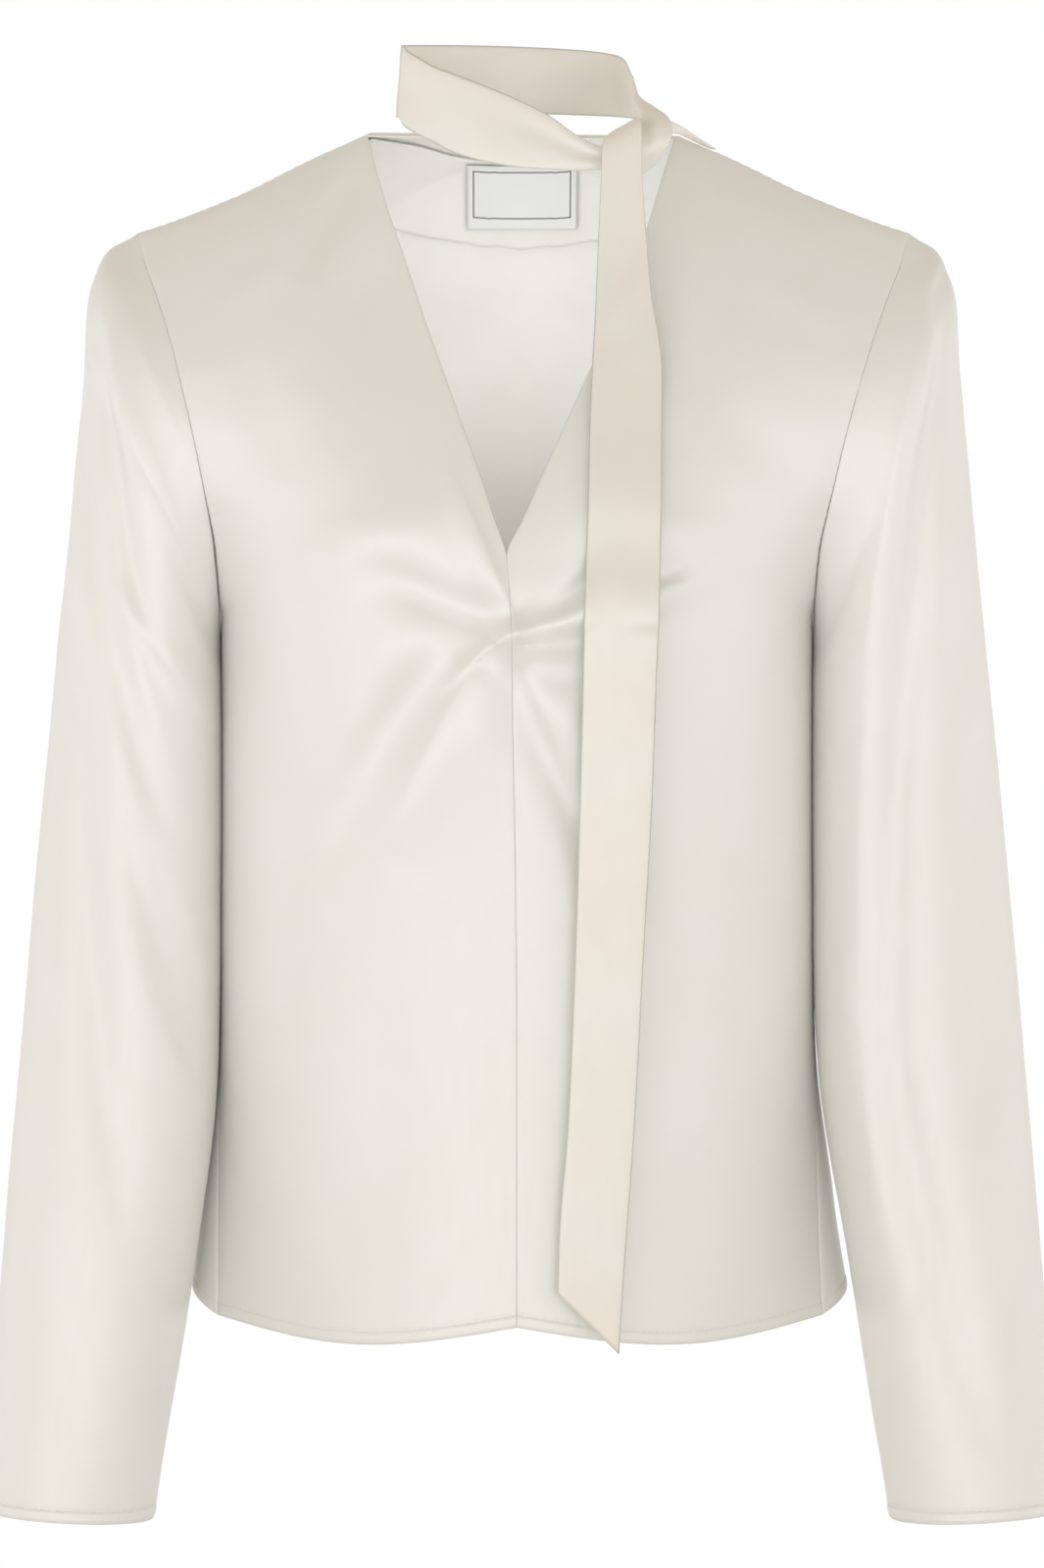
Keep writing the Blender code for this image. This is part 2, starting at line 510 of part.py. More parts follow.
def sleeve_grid(side, steps, ring_steps):
    """A sleeve's outer face: rows from the armhole to the cuff, columns round it from the underarm."""
    loop = armhole(side, steps)
    in_front = (FRONT_TOP - FRONT_UNDERARM) * steps
    around = np.concatenate([
        np.linspace(0.0, 0.5, in_front + 1),
        np.linspace(0.5, 1.0, len(loop) - in_front)[1:],
    ])
    loop = loop + np.array([side * SLEEVE_SET_OUT, 0.0, 0.0])
    stations = [loop]
    for number in range(len(RING_ROWS)):
        stations.append(ring(side, np.array([float(number)]), around))
    stations = np.array(stations)
    rows = np.linspace(0.0, len(stations) - 1.0, (len(stations) - 1) * ring_steps + 1)
    points = flowing(stations, rows)
    down = (rows / rows[-1])[:, None]
    moved = sleeve_folds(side, around[None, :], down, SLEEVE_GIRTH, SLEEVE_LENGTH)
    fade = np.clip(down / SLEEVE_TOP_FADE, 0.0, 1.0) * np.clip((1.0 - down) / SLEEVE_CUFF_FADE, 0.0, 1.0)
    fade = fade * np.clip(np.sin(np.pi * around[None, :]) * SLEEVE_INNER_FADE, 0.0, 1.0)
    middle = points[:, :-1].mean(axis=1, keepdims=True)
    outward = points - middle
    outward[..., 2] = 0.0
    outward = outward / np.linalg.norm(outward, axis=-1, keepdims=True)
    points = points + outward * (moved * fade)[..., None]
    points[:, -1] = points[:, 0]
    return pulled_back(points, ("first row",), SEAM_GAP / 2)


def band_grid(rows, across, steps):
    """A stretch of the tie: rows of points along it, each straight across from edge to edge."""
    table = np.array(rows, float)
    table = flowing(table, np.linspace(0.0, len(rows) - 1.0, (len(rows) - 1) * steps + 1))
    share = np.linspace(0.0, 1.0, across + 1)[None, :, None]
    return table[:, None, :3] * (1 - share) + table[:, None, 3:] * share


def depth_over(samples, x, z):
    """The depth of a sampled face at a place of the front view, from a plane through its nearest samples."""
    gap = (samples[:, 0] - x) ** 2 + (samples[:, 2] - z) ** 2
    near = samples[np.argsort(gap)[:NEAR_SAMPLES]]
    middle = near.mean(axis=0)
    plane = near[:, [0, 2]] - middle[[0, 2]]
    slopes = np.linalg.lstsq(plane, near[:, 1] - middle[1], rcond=FLAT_SHARE)[0]
    return middle[1] + slopes[0] * (x - middle[0]) + slopes[1] * (z - middle[2])


def tail_grid(across, steps):
    """The hanging end: its own rows, kept in front of the panel it lies on."""
    points = band_grid(TIE_TAIL_ROWS, across, steps)
    u = np.linspace(0.0, TAIL_SAMPLES["reach"], TAIL_SAMPLES["across"])
    rows = np.linspace(0.0, TAIL_SAMPLES["top_row"], TAIL_SAMPLES["along"])
    samples = front_point(LEFT, u[None, :], rows[:, None]).reshape(-1, 3)
    for line in points:
        for point in line:
            if point[2] < TAIL_TOUCHES:
                below = max(point[2], TAIL_HEM)
                clear = depth_over(samples, point[0], below) - TIE_WALL - TAIL_GAP
                point[1] = min(point[1], clear)
    return points


def surface_frame(side, u, row):
    """Points of the back with their two directions, along u and along the rows, and their inward normals."""
    step = SURFACE_STEP
    middle = back_point(side, u, row)
    along_u = (back_point(side, u + step, row) - middle) / step
    along_row = (back_point(side, u, row + step) - middle) / step
    normal = np.cross(along_u, along_row) * -side[:, None]
    normal = normal / np.linalg.norm(normal, axis=-1, keepdims=True)
    return middle, along_u, along_row, normal


def dots(a, b):
    """Row by row dot products."""
    return np.sum(a * b, axis=-1, keepdims=True)


def facing_grid(depth_steps, half_steps):
    """The facing inside the back neckline, from shoulder seam to shoulder seam, made from the back's points.

    Lines start along the neckline and run straight away from it over the cloth to the facing's depth.
    """
    place = np.linspace(-1.0, 1.0, 2 * half_steps + 1)
    side = np.where(place > 0, LEFT, RIGHT)
    row = BACK_NECK * (1.0 - np.abs(place))
    u = np.zeros(len(place))
    middle, along_u, along_row, normal = surface_frame(side, u, row)
    edge = np.where((row < BACK_NECK)[:, None], along_row, along_u)
    heading = np.cross(normal, edge)
    heading = np.where(heading[:, 2:3] > 0, -heading, heading)
    inset = WALL + FACING_GAP + FACING_TURN_GAP * np.abs(place)[:, None] ** 3
    lines = [middle + normal * inset]
    depth = FACING_DEPTH + FACING_SIDE_DEPTH * np.abs(place)[:, None]
    stride = depth / (depth_steps * FACING_SUBSTEPS)
    for number in range(1, depth_steps * FACING_SUBSTEPS + 1):
        heading = heading - normal * dots(heading, normal)
        heading = heading / np.linalg.norm(heading, axis=-1, keepdims=True)
        uu, ur, rr = dots(along_u, along_u), dots(along_u, along_row), dots(along_row, along_row)
        hu, hr = dots(heading, along_u), dots(heading, along_row)
        spread = uu * rr - ur * ur
        u = np.maximum(u + (stride * (hu * rr - hr * ur) / spread)[:, 0], 0.0)
        row = row + (stride * (hr * uu - hu * ur) / spread)[:, 0]
        middle, along_u, along_row, normal = surface_frame(side, u, row)
        if number % FACING_SUBSTEPS == 0:
            lines.append(middle + normal * inset)
    points = pulled_back(np.array(lines), ("first row",), FACING_TOP_GAP)
    return pulled_back(points, ("first column", "last column"), FACING_END_GAP)


def label_grid(across, down):
    """The label, from points of the facing moved further in."""
    facing = facing_grid(*LABEL_SAMPLES).reshape(-1, 3)
    rows = []
    for z in np.linspace(LABEL_TOP, LABEL_TOP - LABEL_HEIGHT, down + 1):
        line = []
        for x in np.linspace(-LABEL_WIDTH / 2, LABEL_WIDTH / 2, across + 1):
            line.append((x, depth_over(facing, x, z) - WALL - LABEL_GAP, z))
        rows.append(line)
    return np.array(rows)


def build():
    """Every piece of the blouse."""
    for old in list(bpy.data.objects):
        bpy.data.objects.remove(old, do_unlink=True)
    blouse = bpy.data.collections.new("blouse")
    bpy.context.scene.collection.children.link(blouse)
    for side, word in ((RIGHT, "right"), (LEFT, "left")):
        front = front_grid(side, FRONT_ACROSS, ROW_STEPS_LOW, ROW_STEPS_HIGH)
        cloth_object("front_" + word, [front], CLOTH, blouse, WALL, side == RIGHT)
        sleeve = sleeve_grid(side, ROW_STEPS_HIGH, RING_STEPS)
        cloth_object("sleeve_" + word, [sleeve], CLOTH, blouse, WALL, side == LEFT)
    halves = []
    for side in (RIGHT, LEFT):
        half = back_grid(side, BACK_ACROSS, ROW_STEPS_HIGH, ROW_STEPS_LOW)
        halves.append(half if side == LEFT else half[:, ::-1])
    cloth_object("back", halves, CLOTH, blouse, WALL, False)
    cloth_object("neck_facing", [facing_grid(*FACING_STEPS)], CLOTH_INSIDE, blouse, WALL, False)
    cloth_object("neck_label", [label_grid(*LABEL_STEPS)], LABEL_WHITE, blouse, LABEL_WALL, False)
    cloth_object("tie_front", [band_grid(TIE_FRONT_ROWS, TIE_ACROSS, TIE_STEPS)], CLOTH, blouse, TIE_WALL, False)
    cloth_object("tie_back", [band_grid(TIE_BACK_ROWS, TIE_ACROSS, TIE_STEPS)], CLOTH, blouse, TIE_WALL, False)
    cloth_object("tie_hitch", [band_grid(TIE_HITCH_ROWS, TIE_ACROSS, TIE_STEPS)], CLOTH, blouse, TIE_WALL, False)
    cloth_object("tie_tail", [tail_grid(TIE_ACROSS, TIE_STEPS)], CLOTH, blouse, TIE_WALL, False)


build()
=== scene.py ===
"""Looks of a satin blouse with a neck tie, worn by nobody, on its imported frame.

Tables and shapes are in millimetres, in the frame of the CAD: X = 0 is the middle, the wearer's left is +X,
the front faces -Y, and Z = 0 is the point where the neck meets the shoulder seam.
"""

import bpy
import numpy as np
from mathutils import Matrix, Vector, noise
from mathutils.bvhtree import BVHTree


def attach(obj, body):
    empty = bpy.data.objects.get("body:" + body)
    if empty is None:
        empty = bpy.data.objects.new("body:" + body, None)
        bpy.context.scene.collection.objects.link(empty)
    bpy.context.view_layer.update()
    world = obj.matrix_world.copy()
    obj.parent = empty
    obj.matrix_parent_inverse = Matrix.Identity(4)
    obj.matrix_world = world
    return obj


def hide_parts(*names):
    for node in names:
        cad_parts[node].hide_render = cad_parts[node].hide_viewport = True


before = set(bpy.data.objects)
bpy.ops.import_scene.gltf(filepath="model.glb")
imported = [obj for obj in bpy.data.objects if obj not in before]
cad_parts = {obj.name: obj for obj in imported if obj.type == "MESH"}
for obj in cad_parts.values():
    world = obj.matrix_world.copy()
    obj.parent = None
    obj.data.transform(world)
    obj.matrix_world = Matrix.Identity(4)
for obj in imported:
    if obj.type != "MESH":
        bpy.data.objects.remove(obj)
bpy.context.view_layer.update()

MM = 0.001
TINY = 1e-9
WALL = 1.3
CLOTH_WALL = 0.7
RIGHT = -1
LEFT = 1
# How far along a section line its two inner handles reach
INNER_REACH = 0.42
OUTER_REACH = 0.55
# How much of a line's drop is left for its outer handle
OUTER_DROP = 0.6
# The share of a panel, next to its outer seam, over which its folds die out
FADE_SHARE = 0.22
# A fold's strength along its line: where on a half wave it starts, how much of it follows, and its power
FOLD_START = 0.12
FOLD_SPAN = 0.84
FOLD_POWER = 0.8
# How many straight stretches stand for a fold's curved line
LINE_STRETCHES = 20
# An edge that is drawn in for a seam gap stays outside this share of its grid step
MOST_OF_STEP = 0.6

# The front, from the hem up to the shoulder seam. The middle point's depth and height, its place on the
# wearer's right and left panel, the outer point, the angle at which the line arrives there (90 is straight
# back), how far the line swells forward, how far it sags, and how far the body leans to one side.
FRONT_COLUMNS = (
    "mid_y", "mid_z", "right_x", "left_x", "out_x", "out_y", "out_z", "angle", "crown", "sag", "lean",
)
FRONT_ROWS = (
    (-114, -574, -2.4, -2.4, 147.5, -10, -577, 56, 2, -9, -1),
    (-112, -520, -2.4, -2.4, 147, -2, -521, 66, 2, -3, -2),
    (-110, -440, -2.4, -2.4, 145.5, 2, -441, 84, 2, 0, -2.4),
    (-112.5, -365, -3, -3, 144.8, 2, -366, 90, 3, 0, -2.5),
    (-117, -305, -4, -4, 144.5, 1, -303, 90, 5, 0, -2.5),
    (-120, -252, -4.8, -4.8, 144.5, 0, -245.3, 90, 7, 0, -2.5),
    (-118.5, -230, -5.6, -5.6, 144.8, -27, -226, 74, 8, 0, -2.4),
    (-115, -211, -7.2, -7.2, 146, -47, -204, 62, 8, 0, -2.2),
    (-111, -193.5, -12.6, 0.1, 148.3, -55.5, -190, 56, 8, 0, -1.9),
    (-105.5, -176, -18, 7.5, 151.5, -61, -175, 50, 8, 0, -1.6),
    (-90, -138, -31.4, 24.5, 156.5, -63, -152, 42, 8, 0, -1.2),
    (-71, -98, -45.5, 42, 162.8, -59, -127, 36, 7, 0, -0.8),
    (-54, -66, -56, 54.8, 168.5, -50, -107, 30, 6, 0, -0.2),
    (-39, -40, -64.8, 63.2, 176, -35, -85, 24, 4, 1, 0.2),
    (-19, -17, -71.4, 70, 184.5, -16, -63.5, 14, 2, 2, 0.5),
    (5, 0, -76, 76, 190, 5, -48, 4, 0, 2, 0.7),
)
FRONT_UNDERARM = 5
FRONT_TOP = 15

# The back, from the shoulder seam down to the hem. "fall" is how much of the line's drop starts at once.
BACK_COLUMNS = ("mid_x", "mid_y", "mid_z", "out_x", "out_y", "out_z", "angle", "crown", "sag", "lean", "fall")
BACK_ROWS = (
    (76, 5, 0, 190, 5, -48, 4, 0, 2, 0.7, 1),
    (72, 26, 3, 186.5, 29, -63, 14, 2, 2, 0.5, 0.9),
    (55, 46, 2, 180, 52, -86, 24, 3, 2, 0.2, 0.7),
    (31, 60, -3, 174, 67, -108, 32, 4, 2, -0.2, 0.4),
    (0, 67, -6, 168, 74, -128, 38, 5, 2, -0.8, 0),
    (0, 84, -48, 161.5, 76, -152, 44, 6, 1, -1.2, 0),
    (0, 96, -95, 155, 70, -177, 52, 6, 0, -1.6, 0),
    (0, 103, -150, 148.5, 52, -205, 64, 5, 0, -2.2, 0),
    (0, 106, -190, 145.2, 30, -227, 76, 4, 0, -2.4, 0),
    (0, 107, -222, 144.5, 0, -245.3, 90, 3, 0, -2.5, 0),
    (0, 102, -290, 144.5, 1, -303, 90, 3, 0, -2.5, 0),
    (0, 96, -360, 144.8, 2, -366, 90, 2, 0, -2.5, 0),
    (0, 94, -440, 145.5, 2, -441, 98, 2, 0, -2.4, 0),
    (0, 101, -520, 147, -2, -521, 122, 1, 2, -2, 0),
    (0, 111, -588, 147.5, -10, -577, 136, 0, 19, -1, 0),
)
BACK_NECK = 4
# How fast each height still rises, a row, where front and back meet over the shoulder
SHOULDER_SLOPES = {"mid_z": 6.0, "out_z": 0.0}
# The neckline's direction where it crosses the middle of the back, a row
NECK_SLOPES = {"mid_x": -33.0, "mid_y": 2.0, "mid_z": 0.0}
# A power that moves the back lines' sag out towards the side seams
BACK_SAG_PLACE = 1.8
BACK_UNDERARM = 9

# Sleeve rings below the armhole: the ring's point next to the body, its outermost point, the middle of its
# depth, half its depth, and how far the point next to the body leans with the body.
RING_COLUMNS = ("in_x", "in_z", "out_x", "out_z", "mid_y", "half_y", "lean")
RING_ROWS = (
    (144.6, -253, 209.6, -71, 4, 66, -2.5),
    (144, -271, 214.4, -118, 1, 61, -2.5),
    (143.9, -305, 220.8, -190, -1, 56, -2.5),
    (144, -350, 228, -262, -2, 53.5, -2.5),
    (144.6, -402, 236, -345, -3.5, 52.5, -2.4),
    (146.4, -455, 242.8, -425, -6, 52, -2),
    (151.5, -502, 248.2, -488, -9, 51.5, -0.8),
    (159, -548, 252.6, -545, -12, 51, 0),
    (167, -600, 257, -598, -16, 50.5, 0),
    (173.8, -641, 260, -638, -19, 50, 0),
    (178.6, -674, 262.2, -669, -21, 49.5, 0),
)

# Large folds. A fold's line runs from its start past its bend to its end, in front view: x1, z1, bend_x,
# bend_z, x2, z2, then how far it stands out (a trough is negative) and how far it reaches to each side.
FRONT_FOLDS = (
    (-3, -247, -40, -232, -86, -219, -4.5, 16),
    (-34, -258, -66, -290, -88, -356, -8.5, 15),
    (-6, -262, 16, -312, 70, -408, -5, 14),
    (-4, -251, 30, -243, 88, -220, 5, 9),
    (-2, -268, 24, -262, 60, -266, -3, 12),
    (-27, -172, -24, -214, -4, -238, 3, 9),
    (-16, -248, -4.8, -247, 8, -249, 4, 9),
    (-102, -68, -92, -42, -79, -18, -5, 8),
    (-86, -96, -74, -78, -62, -70, -2, 11),
    (128, -160, 140, -184, 146, -206, -3, 10),
    (104, -312, 112, -390, 108, -470, -2.5, 14),
    (-112, -330, -120, -410, -112, -500, -2.5, 16),
)
BACK_FOLDS = (
    (-118, -150, -92, -196, -60, -232, -4, 15),
    (116, -158, 96, -206, 70, -246, -4.5, 14),
    (-54, -300, -62, -400, -74, -520, -5, 20),
    (40, -330, 50, -420, 58, -560, -6, 21),
    (-6, -380, -12, -460, -8, -585, 5, 20),
    (100, -300, 108, -400, 100, -540, 4, 16),
    (-104, -330, -114, -430, -116, -560, 5, 18),
    (-60, -60, 0, -72, 64, -58, -2.5, 14),
)
# A sleeve's folds run along the ring (0 next to the body, 0.25 in front, 0.5 outside, 0.75 behind) and
# down the sleeve (0 at the armhole, 1 at the cuff): around1, down1, around_bend, down_bend, around2, down2,
# then height and width in millimetres as above.
RIGHT_SLEEVE_FOLDS = (
    (0.42, 0.10, 0.32, 0.20, 0.20, 0.30, -5, 12),
    (0.44, 0.20, 0.32, 0.30, 0.18, 0.40, -5, 12),
    (0.40, 0.33, 0.30, 0.48, 0.22, 0.66, -6, 13),
    (0.24, 0.42, 0.16, 0.48, 0.08, 0.54, -4, 11),
    (0.60, 0.14, 0.72, 0.26, 0.84, 0.36, -5, 13),
    (0.62, 0.36, 0.72, 0.50, 0.84, 0.62, -5, 14),
    (0.66, 0.62, 0.72, 0.74, 0.80, 0.86, -3, 13),
)
LEFT_SLEEVE_FOLDS = (
    (0.42, 0.08, 0.24, 0.26, 0.19, 0.52, -7, 12),
    (0.19, 0.50, 0.20, 0.66, 0.26, 0.88, -5, 12),
    (0.40, 0.40, 0.36, 0.52, 0.33, 0.64, -3, 12),
    (0.58, 0.14, 0.74, 0.28, 0.84, 0.42, -6, 13),
    (0.62, 0.42, 0.70, 0.56, 0.80, 0.72, -4, 14),
)

# Under 1, a ring is flatter in front and behind than an ellipse
RING_ROUNDNESS = 0.88
# How far the sleeve head rounds out and up over the shoulder, and on which powers of its two half waves
SLEEVE_HEAD = (1.8, 1.8)
SLEEVE_HEAD_POWERS = (2, 4)
# The girth and length that a sleeve's folds are measured on, the shares of its length over which they die
# out at the top and at the cuff, and how soon they do at the inner line
SLEEVE_GIRTH = 300.0
SLEEVE_LENGTH = 560.0
SLEEVE_TOP_FADE = 0.08
SLEEVE_CUFF_FADE = 0.06
SLEEVE_INNER_FADE = 3.0

# The neck facing and the label sewn to it
FACING_DEPTH = 46.0
# How much deeper the facing is at the shoulder seams than in the middle
FACING_SIDE_DEPTH = 12.0
FACING_END_GAP = 1.6
FACING_TOP_GAP = 1.0
FACING_GAP = 1.6
# The facing stands this much further off where the back rolls over the shoulder
FACING_TURN_GAP = 0.8
FACING_SUBSTEPS = 12
# The step, in u and in rows, over which the back's directions are measured
SURFACE_STEP = 0.01
LABEL_WIDTH = 55.0
LABEL_TOP = -9.5
LABEL_HEIGHT = 30.5
LABEL_GAP = 2.6

# The tie. Each row is one section across the band: the point on its upper (or right) edge and the point
# on its lower (or left) edge, x1, y1, z1, x2, y2, z2.
TIE_FRONT_ROWS = (
    (-58.4, 1.5, 43.6, -61, 1.5, 8.2),
    (-56, -11, 39.5, -58, -12, 2.5),
    (-51, -22, 35.4, -52, -23, -2.2),
    (-43, -33, 29.6, -43, -34, -7.6),
    (-33, -41, 25, -33, -43, -13.6),
    (-20, -46, 19.6, -20, -49, -18),
    (-3, -50, 12.1, -3, -54, -21.4),
    (13, -52.5, 3.7, 13, -56, -22.7),
    (27, -54, -6.2, 27, -57, -23.4),
    (38, -54, -11, 38, -56, -23),
    (49, -51.5, -8, 48, -53, -21),
    (60, -46, -2, 58, -48, -15),
    (69, -34, 3.5, 66.5, -37, -6),
    (79, -18, 1.6, 74, -24, -2.6),
    (95, 6, -7.2, 82, -1, -2.4),
)
TIE_BACK_ROWS = (
    (-58.4, 2.2, 43.7, -61, 2.2, 8.4),
    (-56, 22, 46.4, -58, 22, 10.8),
    (-44, 45, 49.2, -45, 46, 14),
    (-21, 60, 50.8, -21, 61, 16.2),
    (5, 64, 50.4, 5, 65, 17),
    (28, 57, 48.2, 28.5, 58, 15.6),
    (43, 41, 44.4, 44, 42, 13.2),
    (49.8, 24, 39.6, 51.5, 24, 10.5),
    (53.2, 6, 30, 57, 6, 8),
)
TIE_HITCH_ROWS = (
    (53.5, 5.2, 29.4, 57.2, 5.2, 7.6),
    (56.6, -14, 17.5, 57.4, -16, 4.5),
    (63.6, -32, 10.8, 57, -36, 3),
    (70.5, -46, 4, 56.4, -50, -1.5),
    (72.5, -53, -3.5, 56, -57.8, -8),
    (71, -55, -10.5, 56, -59.2, -16),
    (67, -50, -17.5, 55, -55, -24),
    (61.5, -42.5, -20, 51, -46, -28),
    (56.5, -39.5, -12, 46, -42, -24),
    (54.5, -39.5, -3, 43, -42.5, -12),
)
TIE_TAIL_ROWS = (
    (54.4, -40.6, -1.8, 42, -43.6, -10.6),
    (55.4, -47.5, 3.4, 39.6, -51.5, -6.8),
    (57.4, -61.5, -2, 38.2, -63, -12.5),
    (57.8, -66, -27, 37.6, -67, -30),
    (60, -71, -60, 36.2, -73, -61),
    (62, -77, -84, 35.2, -79.5, -84),
    (65.2, -84, -104, 34.2, -86.5, -104),
    (66.8, -90, -120, 33.2, -92.5, -120),
    (66.4, -100, -151, 31.8, -103, -151),
    (65.8, -110, -189, 30.8, -113, -189),
    (64.7, -119.5, -235, 29.2, -124, -235),
    (64.2, -121, -252, 28.8, -124.5, -252),
    (63.2, -121, -275, 28.3, -123.5, -275),
    (61.4, -119.5, -327, 27, -121, -327),
    (57.3, -117, -401, 24.8, -118, -401),
    (53.2, -115, -479, 21.6, -117, -476),
    (48.8, -116, -540, 17.8, -118, -522),
    (45.8, -118, -586.4, 16.6, -120, -557.4),
)

# The hanging end may touch the panel under the first height; below the second it hangs past the hem
TAIL_TOUCHES = -100.0
TAIL_HEM = -566.0
# The hanging end keeps this far off the panel and follows it no deeper than this, evened over some rows
TAIL_CLEAR = 0.5
TAIL_FOLLOW = 2.0
TAIL_SMOOTH = 3
TAIL_PASSES = 12
# A place of the hanging end with no cloth under it, and how far the evening may press a row forward
TAIL_FREE = 1000.0
TAIL_GIVE = 0.2

# A depth is read from this many samples; those closer to one line than the share give no slope across it
NEAR_SAMPLES = 8
FLAT_SHARE = 0.1

# Creases: the line as a fold's, from its start past its bend to its end, then how high the cloth stands on
# the left of that line, how fast it drops on the right, and how softly it falls away on the left.
FRONT_CREASES = (
    (-1.2, -245.6, -14, -211.9, -30.8, -174.6, 2.6, 1.3, 12),
    (74, -222.5, 34, -231, -1.6, -246.8, 2.6, 2, 5),
    (-34, -272, -17, -253, -1.6, -246.8, 2.4, 1.4, 4.5),
    (-20, -261, -45.5, -291, -66, -352, 6, 9, 22),
    (-5, -253, 14.5, -295, 34, -345, 3.4, 5, 7),
    (-58, -226, -30, -240, -4, -247, 0.8, 4, 9),
    (30, -246, 12, -250, -2, -249, 1.4, 2, 5),
)
# Smaller folds beside the large ones, in the same columns
FRONT_FINE_FOLDS = (
    (-8, -244, -34, -235, -68, -216, -3.5, 9),
    (0, -251, 28, -249.5, 62, -240, -3, 4),
    (-14, -262, -22, -300, -24, -352, 1, 9),
    (2, -268, 10, -300, 30, -352, -1.5, 8),
    (4, -262, 18, -282, 32, -318, 2.5, 8),
    (34, -216, 28, -230, 10, -240, -3, 6),
    (40, -262, 46, -320, 44, -400, -2.5, 9),
    (76, -212, 66, -226, 52, -232, -2.5, 5),
    (-96, -262, -70, -300, -62, -352, 1.6, 16),
    (-120, -300, -104, -372, -112, -452, -1.6, 11),
    (-60, -400, -70, -450, -64, -540, -1.6, 14),
    (-24, -380, -30, -440, -26, -520, 1.4, 12),
    (74, -340, 82, -420, 78, -520, 1.8, 13),
    (126, -270, 118, -330, 124, -420, -2, 10),
    (88, -128, 110, -150, 124, -182, -1.4, 12),
    (-132, -120, -116, -150, -108, -190, -1.6, 12),
    (-70, -60, -84, -110, -78, -160, -1.4, 15),
    (84, -30, 104, -60, 98, -104, -2.4, 12),
    (78, -50, 84, -84, 76, -120, 1.6, 10),
    (-146, -86, -130, -78, -112, -66, 1.4, 9),
    (150, -96, 132, -84, 112, -74, 1.4, 9),
    (-134, -232, -92, -206, -36, -194, 4.5, 18),
    (40, -196, 96, -207, 136, -218, 4.5, 18),
)
BACK_FINE_FOLDS = (
    (-20, -330, -34, -400, -30, -560, -3, 10),
    (74, -300, 82, -380, 80, -500, -2.6, 11),
    (-96, -280, -86, -340, -94, -430, -2.4, 10),
    (18, -420, 26, -500, 22, -586, -2.6, 11),
    (-110, -120, -84, -140, -60, -150, -2, 10),
    (106, -126, 80, -150, 60, -156, -2, 10),
    (-130, -200, -116, -232, -96, -262, -2.4, 9),
    (132, -206, 112, -240, 96, -270, -2.4, 9),
    (-40, -20, 0, -28, 40, -20, 1, 8),
    (124, -420, 118, -480, 124, -560, -2.4, 9),
)
# The same on a sleeve, in the columns of its large folds
RIGHT_SLEEVE_FINE_FOLDS = (
    (0.40, 0.06, 0.36, 0.14, 0.26, 0.24, -1.7, 7),
    (0.43, 0.15, 0.34, 0.25, 0.20, 0.35, -1.5, 7),
    (0.36, 0.26, 0.28, 0.36, 0.18, 0.44, 1.5, 9),
    (0.34, 0.44, 0.27, 0.58, 0.20, 0.72, -1.5, 8),
    (0.22, 0.40, 0.16, 0.45, 0.07, 0.50, -1.5, 6),
    (0.20, 0.48, 0.15, 0.53, 0.07, 0.57, -1.3, 6),
    (0.30, 0.72, 0.26, 0.82, 0.24, 0.92, -1, 10),
    (0.44, 0.60, 0.40, 0.72, 0.40, 0.86, 0.8, 12),
    (0.58, 0.20, 0.68, 0.30, 0.80, 0.38, -3, 8),
    (0.56, 0.46, 0.66, 0.56, 0.80, 0.66, -3, 8),
    (0.60, 0.76, 0.70, 0.84, 0.78, 0.92, -2, 9),
)
LEFT_SLEEVE_FINE_FOLDS = (
    (0.40, 0.07, 0.30, 0.16, 0.24, 0.30, -1.4, 6),
    (0.36, 0.10, 0.27, 0.24, 0.24, 0.40, 1, 9),
    (0.24, 0.36, 0.19, 0.52, 0.20, 0.70, -1.3, 7),
    (0.14, 0.40, 0.12, 0.54, 0.16, 0.70, 0.8, 8),
    (0.36, 0.40, 0.33, 0.52, 0.34, 0.66, -0.9, 9),
    (0.30, 0.70, 0.27, 0.82, 0.28, 0.93, -0.8, 10),
    (0.58, 0.22, 0.70, 0.34, 0.80, 0.44, -3, 8),
    (0.60, 0.52, 0.70, 0.62, 0.82, 0.70, -2.6, 9),
    (0.62, 0.78, 0.68, 0.86, 0.78, 0.93, -1.8, 9),
)
# Creases on the front of each sleeve, in front view and in the columns of the front's creases
SLEEVE_CREASES = {
    RIGHT: (
        (-192, -88, -178, -122, -163, -155, 2.4, 3, 9),
        (-206, -118, -182, -165, -147, -236, 2.8, 3.5, 10),
        (-210, -150, -204, -220, -174, -300, 2.2, 4, 12),
        (-197, -228, -172, -256, -146, -296, 2.6, 4, 9),
    ),
    LEFT: (
        (192, -96, 174, -180, 164, -265, 3, 5, 12),
        (163, -300, 162, -430, 174, -560, 2.4, 8, 14),
    ),
}
LARGE_SLEEVE_FOLDS = {RIGHT: RIGHT_SLEEVE_FOLDS, LEFT: LEFT_SLEEVE_FOLDS}
FINE_SLEEVE_FOLDS = {RIGHT: RIGHT_SLEEVE_FINE_FOLDS, LEFT: LEFT_SLEEVE_FINE_FOLDS}

# Round knots of gathered cloth: place, height and reach
FRONT_KNOTS = (
    (-3, -247, 2.5, 5),
)

# How the bands of the tie are drawn
BAND_ACROSS = 28
BAND_STEPS = 14
BAND_WALL = 1.3
BAND_BULGE = 0.5
# A band's half section is this power of a flattened circle
BAND_SQUARENESS = 6
